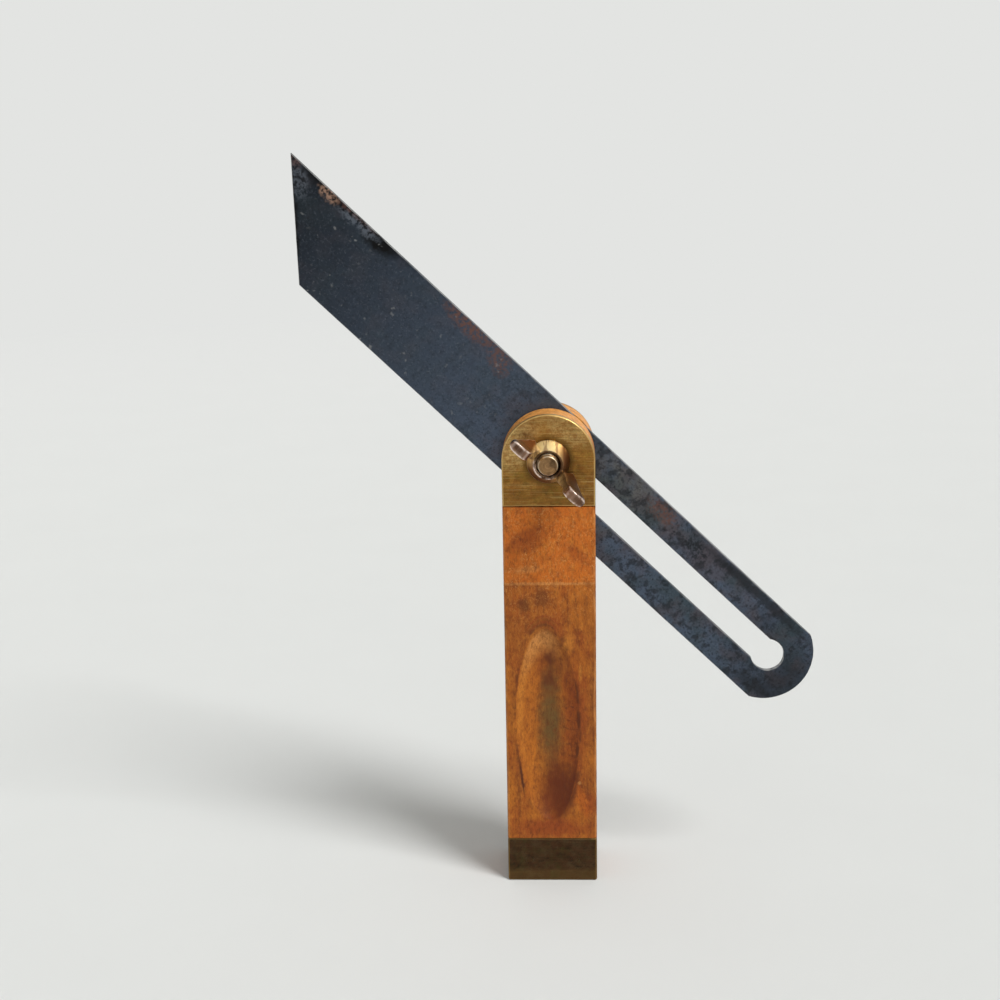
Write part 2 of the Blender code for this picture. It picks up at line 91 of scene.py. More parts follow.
# Rings that a hollow is cut in, and how much steeper its wall is at the rim
HOLLOW_RINGS = 24
HOLLOW_STEEPNESS = 2.6

# Rings in one turn of the thread, how narrow its grooves are, and the shoulder's gap to the plate
RINGS_PER_TURN = 12
GROOVE_SHARPNESS = 2.6
SHOULDER_GAP = 0.0003

# How soon a wing is thick again past its neck, and the least square of what its rounded end keeps
THICKENING = 1.6
END_LEAST_SQUARED = 0.1

# Direction that the soft light comes from
LIGHT_FROM = Vector((0.52, -0.43, 0.74))

# Outline of a wing, counter-clockwise, as shares of the way out from its root and of its height
WING_OUTLINE_SHARES = (
    (0.00, 0.05),
    (0.20, 0.06),
    (0.45, 0.22),
    (0.69, 0.44),
    (0.91, 0.68),
    (1.00, 0.85),
    (0.97, 0.95),
    (0.85, 1.00),
    (0.45, 1.00),
    (0.35, 0.95),
    (0.26, 0.72),
    (0.15, 0.46),
    (0.00, 0.29),
)


def linear(code):
    """A colour written as sRGB hex, turned to the linear values that Blender works in."""
    channels = [int(code[start:start + 2], 16) / 255 for start in (1, 3, 5)]
    return tuple(c / 12.92 if c <= 0.04045 else ((c + 0.055) / 1.055) ** 2.4 for c in channels)


def size(name, description, default):
    """A size that a user may change, kept above zero and shown in the scene's unit."""
    return FloatProperty(
        name=name, description=description, default=default, min=0.0, unit="LENGTH", precision=5
    )


def angle(name, description, degrees):
    """An angle that a user may change."""
    return FloatProperty(name=name, description=description, default=radians(degrees), subtype="ANGLE")


def amount(name, description, default):
    """A plain number that a user may change."""
    return FloatProperty(name=name, description=description, default=default, min=0.0)


def colour(name, description, code):
    """A colour that a user may change."""
    return FloatVectorProperty(
        name=name, description=description, default=linear(code), size=3, min=0.0, max=1.0, subtype="COLOR"
    )


# Sizes and colours that a user would change

class StockSettings(bpy.types.PropertyGroup):
    kerf_width: size("Kerf width", "Width of the slit that the blade folds into", 0.0024)
    kerf_floor: size("Kerf floor", "Height of the slit's closed end above the butt", 0.0200)
    edge_round: size("Edge round", "Radius of the stock's worn long edges", 0.0006)
    edge_wear: size("Edge wear", "How much further the edges are rubbed away in places", 0.0003)
    joint_gap: size("Joint gap", "Gap between the wood and the brass let into it", 0.00008)
    scoop_length: size("Scoop length", "Length of the thumb hollow", 0.0575)
    scoop_width: size("Scoop width", "Width of the thumb hollow", 0.0174)
    scoop_depth: size("Scoop depth", "Depth of the thumb hollow", 0.0022)
    scoop_floor: size("Scoop floor", "Width of the flat strip along the hollow's middle", 0.0006)
    scoop_end_slope: size("Scoop end slope", "How far the strip stops short of each end", 0.0110)
    rim_round: size("Rim round", "Width of the rubbed rim round the hollow", 0.0007)
    scoop_height: size("Scoop height", "Height of the hollow's middle above the butt", 0.0471)
    scoop_aside: size("Scoop aside", "How far the front hollow lies to the left of the middle", 0.0009)
    scoop_tilt: angle("Scoop tilt", "Lean of the front hollow", 1.6)
    wood_upper: colour("Wood, upper", "Orange brown of the clean wood below the plate", "#cc6a1b")
    # Also the painted highlight on the hollow's left wall
    wood_light_and_highlight: colour("Wood, light", "Golden parts of the stained beech", "#bb6c1d")
    wood_mid: colour("Wood, middle", "Body colour of the stained beech", "#9a5419")
    wood_dark: colour("Wood, dark", "Dark flecks and worn-in dirt of the beech", "#552a0f")
    # Also the painted shade at the hollow's lower end and along its lower right edge
    wood_deep_and_shade: colour("Wood, deep", "Dark red-brown end of the hollow", "#63290a")
    # Also the painted shade on the hollow's right wall
    wood_red_and_shade: colour("Wood, red", "Reddish parts of the stain", "#8e3f14")
    # Also the painted highlight on the hollow's upper and left walls
    wood_gold_and_highlight: colour("Wood, golden", "Golden wood on the hollow's upper and left walls", "#cf8430")
    # Painted highlight on the top of the head, where light falls from above
    wood_head_highlight: colour("Wood, bare", "Bright orange wood of the rubbed head", "#ffb45c")
    # Also the painted highlight at the hollow's upper end
    wood_pale_and_highlight: colour("Wood, pale", "Pale wood in nicks and on rubbed edges", "#d2914f")
    grime: colour("Grime", "Greenish dirt rubbed into the hollow", "#5c4a24")


class PlateSettings(bpy.types.PropertyGroup):
    thickness: size("Plate thickness", "Thickness of the brass let into the head", 0.0015)
    below_pivot: size("Below pivot", "How far the plate reaches below the pivot", 0.01275)
    edge_round: size("Edge round", "Radius of the plate's filed rim", 0.0005)
    pin_diameter: size("Pin diameter", "Diameter of the pins that hold the plate", 0.0020)
    pin_length: size("Pin length", "Length of the pins that hold the plate", 0.0062)
    pin_inset: size("Pin inset", "Distance of the lower pins from the plate's sides and foot", 0.0040)
    pin_seam: size("Pin seam", "Gap round a pin that is filed flush", 0.00003)
    age: amount("Age", "How brown the brass is low down", 0.26)
    scratched: amount("Scratched", "How strongly its level scratches show", 0.40)
    brass: colour("Brass", "Aged rolled brass", "#b58540")
    red: colour("Red tarnish", "Reddish tarnish on the brass", "#96602f")
    green: colour("Green tarnish", "Olive tarnish on the brass", "#7c6a2c")
    tarnish: colour("Tarnish", "Brown tarnish on the brass", "#624824")
    # Also the painted highlight by the plate's shoulders
    bright: colour("Bright brass", "Brass rubbed bright along its edges", "#d9b878")


class TipSettings(bpy.types.PropertyGroup):
    height: size("Tip height", "Height of the brass round the butt", 0.0130)
    wall: size("Tip wall", "Thickness of the brass round the butt", 0.0014)
    edge_round: size("Edge round", "Radius of the tip's worn edges", 0.0005)
    pin_diameter: size("Pin diameter", "Diameter of the two pins through the butt", 0.0022)
    pin_spacing: size("Pin spacing", "Distance between the two pins through the butt", 0.0130)
    age: amount("Tip age", "How brown the tip is", 0.40)
    scratched: amount("Tip scratched", "How strongly its level scratches show", 0.10)
    brass: colour("Tip brass", "Brass dulled by handling", "#66523a")
    red: colour("Tip, red", "Reddish brown tarnish on the tip", "#5e3c28")
    green: colour("Tip, green", "Greenish tarnish on the tip", "#4f4a26")
    tarnish: colour("Tip stain", "Dark stain on the brass", "#2c231a")
    bright: colour("Tip, rubbed", "Tip's edges where they are rubbed", "#86693d")


class BladeSettings(bpy.types.PropertyGroup):
    total: size("Blade length", "Length of the blade from its tip to its round end", 0.2032)
    width: size("Blade width", "Width of the blade", 0.0248)
    thickness: size("Blade thickness", "Thickness of the blade", 0.0018)
    end_radius: size("End radius", "Radius of the blade's round end", 0.0138)
    slot_width: size("Slot width", "Width of the slot", 0.0076)
    slot_length: size("Slot length", "From the keyhole's centre to the centre of the slot's end", 0.0911)
    keyhole: size("Keyhole", "Diameter of the keyhole", 0.00925)
    keyhole_from_end: size("Keyhole from end", "From the keyhole's centre to the round end", 0.0126)
    screw_in_slot: size("Screw in slot", "From the screw to the centre of the slot's end", 0.0065)
    edge_round: size("Edge round", "Radius of the blade's dulled edges", 0.00016)
    fall: angle("Fall", "Slope of the blade down to the right", 43.8)
    blued: colour("Blued steel", "Blue-grey oxide of the steel", "#505b6c")
    tip_oxide: colour("Tip oxide", "Darker oxide towards the tip", "#1c2127")
    dark: colour("Dark oxide", "Dark blotches of the oxide", "#26282c")
    purple: colour("Purple oxide", "Purple tint of the oxide", "#544d52")
    teal: colour("Teal oxide", "Teal tint of the oxide", "#3a464a")
    black: colour("Black pits", "Black corrosion along the upper edge", "#111112")
    olive: colour("Olive oxide", "Olive brown tint beside the stock", "#66625a")
    rust: colour("Rust", "Reddish rust along the edge", "#6b4d45")
    orange_rust: colour("Orange rust", "Fresh rust near the tip", "#a07f6c")
    bloom: colour("Bloom", "Pale bloom on the oxide", "#737a85")
    bare: colour("Bare steel", "Steel rubbed bare on edges and specks", "#a3a3a2")


class ScrewSettings(bpy.types.PropertyGroup):
    shank: size("Shank", "Diameter of the unthreaded shank", 0.0090)
    thread: size("Thread", "Diameter over the thread", 0.0063)
    pitch: size("Pitch", "Distance from one thread to the next", 0.00127)
    thread_depth: size("Thread depth", "Depth of the thread", 0.00045)
    end_step: size("End step", "How much the screw's end is turned down all round", 0.0005)
    end_length: size("End length", "Length of the turned-down end", 0.0012)
    end_chamfer: size("End chamfer", "Chamfer of the turned-down end", 0.0003)
    head: size("Head", "Diameter of the countersunk head", 0.0135)
    head_rim: size("Head rim", "Height of the head's straight rim", 0.0004)
    slot_width: size("Slot width", "Width of the screwdriver slot", 0.0014)
    slot_depth: size("Slot depth", "Depth of the screwdriver slot", 0.0013)
    flat_gap: size("Flat gap", "Clearance of the flats in the blade's slot", 0.00015)
    steel: colour("Screw steel", "Dull steel browned with age", "#a9835a")
    # Also paints the highlight on the chamfer of the screw's end
    rubbed: colour("Screw, rubbed", "Steel rubbed pale on the screw's edges", "#d3c0a4")
    stain: colour("Screw stain", "Dirt and rust on the steel", "#4b3a2a")


class NutSettings(bpy.types.PropertyGroup):
    height: size("Boss height", "Height of the nut's boss", 0.0050)
    base: size("Boss base", "Diameter of the boss against the plate", 0.0118)
    top: size("Boss top", "Diameter of the boss at its top", 0.0080)
    foot: size("Foot", "Height of the boss's straight foot", 0.0008)
    bore_gap: size("Bore gap", "Clearance between the nut's thread and the screw's", 0.00012)
    chamfer: size("Chamfer", "Chamfer of the bore", 0.00025)
    reach: size("Wing reach", "How far a wing reaches from the axis", 0.0126)
    wing_height: size("Wing height", "Height of a wing above the plate", 0.0170)
    wing_thickness: size("Wing thickness", "Thickness of a wing at its tip", 0.0027)
    neck_thickness: size("Neck thickness", "Thickness of a wing where it is thinnest", 0.0019)
    neck_height: size("Neck height", "Height of a wing's thinnest place above the plate", 0.0110)
    end_round: size("End round", "Radius of a wing's outer end, seen from above", 0.0016)
    foot_thickness: size("Foot thickness", "Thickness of a wing low down beside the boss", 0.0054)
    fillet: size("Fillet", "How far a wing flares out of the boss", 0.0018)
    root_radius: size("Root radius", "Where a wing starts, from the axis", 0.00385)
    grain: size("Remesh size", "Fineness of the cast skin", 0.00017)
    turn: angle("Turn", "Turn of the wings at rest", 42.0)
    smoothing: IntProperty(name="Smoothing", description="Softness of the cast edges", default=10, min=0)
    # Also the painted shade on the boss's right and lower left
    patina: colour("Patina", "Brown patina in the nut's hollows", "#8b5a3b")
    brass: colour("Cast brass", "Cast brass under the patina", "#e6c386")
    # Also a painted highlight on top of the boss
    filed: colour("Filed brass", "Brass filed bright on top of the boss", "#ffecb4")
    # Also the painted shade on the boss's right and lower left, in the bore and on the lower wing
    dirt: colour("Nut dirt", "Dark dirt in the nut's pores", "#4a3022")
    handled: colour("Handled brass", "Brass greyed by fingers on the wings' ends", "#8e7969")
    # Also a painted highlight on the boss's rim at its lower left
    worn: colour("Worn brass", "Brass worn pale on the wings' edges", "#ecd6c8")


class StageSettings(bpy.types.PropertyGroup):
    floor: colour("Floor", "Pale paper that the tool stands on", "#e3e4e2")
    floor_radius: size("Floor radius", "Radius of the floor's flat part", 1.6)
    sweep: size("Sweep", "Radius of the curve that the paper rises in", 0.8)
    fade_start: size("Fade start", "Distance from the tool at which the paper starts to fade", 0.45)
    fade_end: size("Fade end", "Distance at which only the even backdrop is left", 1.3)
    key_strength: amount("Key light", "Strength of the soft light", 2.45)
    key_angle: angle("Key size", "Width of the soft light, seen from the tool", 24.0)
    world_strength: amount("World", "Strength of the even light all round", 0.50)
    lens: amount("Lens", "Focal length in millimetres", 60.34)
    azimuth: angle("Azimuth", "Turn of the camera to the left", -2.595)
    elevation: angle("Elevation", "Camera's look downwards", 13.339)
    roll: angle("Roll", "Camera's roll", -1.018)
    eye: FloatVectorProperty(
        name="Eye", description="Place of the camera", default=(0.00684, -0.45389, 0.21746),
        subtype="TRANSLATION",
    )


# Mesh tools

def add_piece(name, work):
    """Turns a bmesh into an object that sits at the origin."""
    mesh = bpy.data.meshes.new(name)
    work.to_mesh(mesh)
    work.free()
    piece = bpy.data.objects.new(name, mesh)
    bpy.context.scene.collection.objects.link(piece)
    return piece


def settle(piece):
    """Applies a piece's modifiers to its mesh."""
    graph = bpy.context.evaluated_depsgraph_get()
    graph.update()
    old = piece.data
    piece.data = bpy.data.meshes.new_from_object(piece.evaluated_get(graph))
    piece.data.name = piece.name
    piece.modifiers.clear()
    bpy.data.meshes.remove(old)


def carve(piece, work):
    """Cuts a shape out of a piece."""
    cutter = add_piece("cutter", work)
    boolean = piece.modifiers.new("carve", "BOOLEAN")
    boolean.operation = "DIFFERENCE"
    boolean.solver = "EXACT"
    boolean.object = cutter
    settle(piece)
    shape = cutter.data
    bpy.data.objects.remove(cutter)
    bpy.data.meshes.remove(shape)


def extrude_by(work, faces, offset):
    """Gives flat faces a thickness and leaves the solid's faces pointing outwards."""
    grown = bmesh.ops.extrude_face_region(work, geom=faces)["geom"]
    moved = [item for item in grown if isinstance(item, bmesh.types.BMVert)]
    bmesh.ops.translate(work, verts=moved, vec=offset)
    bmesh.ops.recalc_face_normals(work, faces=work.faces)


def round_off(work, edges, radius, segments=3):
    """Rounds edges."""
    bmesh.ops.bevel(
        work, geom=edges, offset=radius, segments=segments, profile=0.5, affect="EDGES", material=-1
    )


def put(work, verts, lean, where):
    """Turns vertices about the Y axis and moves them to their place."""
    bmesh.ops.rotate(work, verts=verts, cent=(0, 0, 0), matrix=Matrix.Rotation(lean, 3, "Y"))
    bmesh.ops.translate(work, verts=verts, vec=where)


def sweep(work, start, centre, axis, turn, steps):
    """Sweeps a vertex into an arc about a centre, and returns the arc's last vertex."""
    swept = bmesh.ops.spin(work, geom=[start], cent=centre, axis=axis, angle=turn, steps=steps)
    return next(item for item in swept["geom_last"] if isinstance(item, bmesh.types.BMVert))


def add_box(work, low, high):
    """A block between two corners."""
    made = bmesh.ops.create_cube(work, size=1.0)["verts"]
    reach = Vector(high) - Vector(low)
    bmesh.ops.scale(work, vec=reach, verts=made)
    bmesh.ops.translate(work, verts=made, vec=Vector(low) + reach / 2)


def add_rod(work, centre, diameter, depth, steps):
    """A round bar along Y, centred on a point."""
    made = bmesh.ops.create_cone(
        work, cap_ends=True, segments=steps, radius1=diameter / 2, radius2=diameter / 2, depth=depth
    )["verts"]
    bmesh.ops.rotate(work, verts=made, cent=(0, 0, 0), matrix=Matrix.Rotation(pi / 2, 3, "X"))
    bmesh.ops.translate(work, verts=made, vec=centre)


def round_headed(work, low, y, steps):
    """A flat strip as wide as the stock, with a half-round head about the pivot, as one face."""
    left = work.verts.new((-HALF_WIDTH, y, low))
    right = work.verts.new((HALF_WIDTH, y, low))
    shoulder = work.verts.new((HALF_WIDTH, y, PIVOT.z))
    last = sweep(work, shoulder, (0.0, y, PIVOT.z), Y_AXIS, -pi, steps)
    for pair in ((left, right), (right, shoulder), (last, left)):
        work.edges.new(pair)
    return bmesh.ops.contextual_create(work, geom=work.edges[:])["faces"]


def add_hollow(work, s, side):
    """The shape that cuts a thumb hollow: ovals one inside the other, each deeper than the last. The
    walls are steepest a little inside the rim, which is rubbed round."""
    made = bmesh.ops.create_circle(work, cap_ends=True, segments=120, radius=1.0)["verts"]
    bmesh.ops.rotate(work, verts=made, cent=(0, 0, 0), matrix=Matrix.Rotation(pi / 2, 3, "X"))
    rim = 1.0 + s.rim_round / s.scoop_width
    bmesh.ops.scale(work, verts=made, vec=(s.scoop_width / 2 * rim, 1.0, s.scoop_length / 2 * rim))
    bmesh.ops.translate(work, verts=made, vec=(0.0, side * OVERRUN, 0.0))
    lid = made[0].link_faces[0]
    grown = bmesh.ops.extrude_face_region(work, geom=[lid])["geom"]
    floor = next(item for item in grown if isinstance(item, bmesh.types.BMFace))
    bmesh.ops.translate(work, verts=floor.verts, vec=(0.0, -side * OVERRUN, 0.0))
    all_verts = list(made) + list(floor.verts)
    old = (s.scoop_width * rim, s.scoop_length * rim, 0.0)
    for ring in range(HOLLOW_RINGS + 1):
        inwards = ring / HOLLOW_RINGS
        new = (
            s.scoop_width + (s.scoop_floor - s.scoop_width) * inwards,
            s.scoop_length - 2 * s.scoop_end_slope * inwards,
            s.scoop_depth * (1.0 - (1.0 - inwards) ** HOLLOW_STEEPNESS) + s.rim_round / 4,
        )
        floor = bmesh.ops.extrude_discrete_faces(work, faces=[floor])["faces"][0]
        bmesh.ops.scale(work, verts=floor.verts, vec=(new[0] / old[0], 1.0, new[1] / old[1]))
        bmesh.ops.translate(work, verts=floor.verts, vec=(0.0, -side * (new[2] - old[2]), 0.0))
        all_verts += floor.verts
        old = new
    bmesh.ops.triangulate(work, faces=work.faces)
    bmesh.ops.recalc_face_normals(work, faces=work.faces)
    return all_verts


def turn_profile(points, steps):
    """A solid turned about the screw's axis from points of radius and Y, both ends on the axis."""
    work = bmesh.new()
    chain = [work.verts.new((radius, y, 0.0)) for radius, y in points]
    for pair in zip(chain, chain[1:]):
        work.edges.new(pair)
    bmesh.ops.spin(
        work, geom=work.verts[:] + work.edges[:], cent=(0.0, 0.0, 0.0), axis=Y_AXIS,
        angle=2 * pi, steps=steps, use_merge=True,
    )
    bmesh.ops.remove_doubles(work, verts=work.verts, dist=MERGE_DISTANCE)
    bmesh.ops.recalc_face_normals(work, faces=work.faces)
    bmesh.ops.translate(work, verts=work.verts, vec=PIVOT)
    return work


def mark_wear(work, reach, largest_face):
    """Stores how far each vertex stands proud of its neighbours, for the materials' rubbed edges.
    A vertex of a large face, or of one square to an axis, stays unworn, so that no flat face takes the
    colour of its rim."""
    layer = work.verts.layers.float.new("wear")
    for vert in work.verts:
        if any(face.calc_area() > largest_face or max(map(abs, face.normal)) > 0.9999
               for face in vert.link_faces):
            continue
        neighbours = [edge.other_vert(vert).co for edge in vert.link_edges]
        around = sum(neighbours, Vector()) / len(neighbours)
        vert[layer] = max(0.0, min(1.0, (vert.co - around).dot(vert.normal) / reach))


def mark_piece_wear(piece, reach, largest_face):
    """Stores the wear of a finished piece."""
    work = bmesh.new()
    work.from_mesh(piece.data)
    mark_wear(work, reach, largest_face)
    work.to_mesh(piece.data)
    work.free()


def finish_piece(piece, material, body, nodes):
    """Shades a piece, gives it its material and lets it stand for its CAD nodes."""
    piece.data.materials.clear()
    piece.data.materials.append(material)
    piece.data.shade_smooth()
    piece.data.set_sharp_from_angle(angle=SHARP_ANGLE)
    weighted = piece.modifiers.new("even_shading", "WEIGHTED_NORMAL")
    weighted.keep_sharp = True
    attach(piece, body)
    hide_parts(*nodes)


def soft_step(value):
    """Rises smoothly from 0 to 1 as a value goes from 0 to 1."""
    value = min(1.0, max(0.0, value))
    return value * value * (3.0 - 2.0 * value)


def pin_places(plate, head):
    """Where the pins of a plate stand about the pivot: two low in the corners, two by the round rim."""
    reach = HALF_WIDTH - plate.pin_inset
    low = plate.pin_inset - plate.below_pivot
    high = (2 * HALF_WIDTH + head) / 4 * sin(pi / 4)
    return [(-reach, low), (reach, low), (-high, high), (high, high)]


# Material tools

def node(tree, kind, links, output=None, **settings):
    """Adds a node with its settings and returns one output. Links go to inputs by name or number."""
    made = tree.nodes.new("ShaderNode" + kind)
    for name, value in settings.items():
        setattr(made, name, value)
    for name, value in links.items():
        if isinstance(name, int):
            socket = made.inputs[name]
        else:
            socket = next(s for s in made.inputs if s.name == name and s.enabled)
        if isinstance(value, bpy.types.NodeSocket):
            tree.links.new(value, socket)
        elif isinstance(socket.default_value, float):
            socket.default_value = value
        else:
            socket.default_value = (*value, 1.0) if len(socket.default_value) == 4 else value
    if output:
        return made.outputs[output]
    return next((s for s in made.outputs if s.enabled), None)


def new_material(name, values):
    """A material with one shader, whose pattern coordinates are the piece's own, in millimetres."""
    material = bpy.data.materials.new(name)
    material.use_nodes = True
    tree = material.node_tree
    for socket, value in values.items():
        tree.nodes["Principled BSDF"].inputs[socket].default_value = value
    place = node(tree, "TexCoord", {}, "Object")
    return material, tree, node(tree, "Mapping", {"Vector": place, "Scale": (1 / MILLIMETRE,) * 3})


def surface(material, base, smoothest, rougher, relief, strength, distance):
    """Gives a material its colour, its roughness above the smoothest, and the relief of its skin."""
    tree = material.node_tree
    rough = node(tree, "Math", {0: rougher, 1: smoothest}, operation="ADD")
    bump = node(tree, "Bump", {"Height": relief, "Strength": strength, "Distance": distance})
    for socket, value in (("Base Color", base), ("Roughness", rough), ("Normal", bump)):
        tree.links.new(value, tree.nodes["Principled BSDF"].inputs[socket])
    return material


def warped(tree, place, scale, reach):
    """Pattern coordinates pushed about by noise, so that marks get ragged outlines."""
    push = node(tree, "TexNoise", {"Vector": place, "Scale": scale, "Detail": 4.0}, "Color")
    push = node(tree, "VectorMath", {0: push, 1: (0.5, 0.5, 0.5)}, operation="SUBTRACT")
    return node(tree, "VectorMath", {0: push, 1: (2 * reach,) * 3, 2: place}, operation="MULTIPLY_ADD")


def shared(tree, first, *others):
    """What several masks have in common."""
    for other in others:
        first = node(tree, "Math", {0: first, 1: other}, operation="MULTIPLY")
    return first


def mask(tree, value, low, high, strength=1.0, *within):
    """Turns a value into a mask that rises from 0 at low to a strength at high, within other masks."""
    rising = {"Value": value, "From Min": low, "From Max": high, "To Max": strength}
    return shared(tree, node(tree, "MapRange", rising), *within)


def band(tree, value, start, full, fading, end, strength=1.0):
    """A mask of the values between two soft limits."""
    return mask(tree, value, start, full, 1.0, mask(tree, value, end, fading, strength))


def patches(tree, place, stretch, low, high, strength=1.0, detail=4.0, grit=0.5):
    """Soft noise between 0 and a strength. The stretch gives its features per millimetre, alike or by
    direction, and the grit how strong its finest details are."""
    if isinstance(stretch, float):
        stretch = (stretch,) * 3
    spread = node(tree, "Mapping", {"Vector": place, "Scale": stretch})
    value = node(tree, "TexNoise", {"Vector": spread, "Scale": 1.0, "Detail": detail, "Roughness": grit})
    return mask(tree, value, low, high, strength)


def lay(tree, base, shade, *masks):
    """Lays a colour over another where all the masks let it show."""
    return node(tree, "Mix", {"Factor": shared(tree, *masks), "A": base, "B": shade}, data_type="RGBA")


def clouds(tree, place, base, rows, *masks):
    """Lays clouds of colour one over the other. A row gives a colour and then its patches' values."""
    for shade, *values in rows:
        base = lay(tree, base, shade, patches(tree, place, *values), *masks)
    return base


def oval(tree, place, middle, lean, half_sizes):
    """Coordinates about an oval's middle in its half-sizes, and the distance from there: 1 on its rim."""
    local = node(
        tree, "Mapping",
        {"Vector": place, "Location": middle, "Rotation": (0.0, lean, 0.0), "Scale": half_sizes},
        vector_type="TEXTURE",
    )
    return local, node(tree, "VectorMath", {0: local}, "Value", operation="LENGTH")


def marks(tree, place, base, y, depth, rows, *masks):
    """Lays soft-edged spots over a colour, all at one Y and reaching one depth. A row gives a spot's
    middle in X and Z, its lean in degrees, its half-sizes in X and Z, how strong it is and its colour."""
    for x, z, lean, half_x, half_z, strength, shade in rows:
        spot = oval(tree, place, (x, y, z), radians(lean), (half_x, depth, half_z))[1]
        base = lay(tree, base, shade, mask(tree, spot, 1.0, 0.45, strength), *masks)
    return base


def from_screw(tree, place):
    """The distance from the screw's axis in millimetres."""
    return oval(tree, place, (0.0, 0.0, PIVOT_HEIGHT), 0.0, (1.0, 1000.0, 1.0))[1]


def rubbed(tree, low, high, strength=1.0, *within):
    """A mask of a piece's rubbed edges, from the wear that is stored in its vertices."""
    wear = node(tree, "Attribute", {}, "Fac", attribute_name="wear")
    return mask(tree, wear, low, high, strength, *within)


# Materials, with their patterns in millimetres

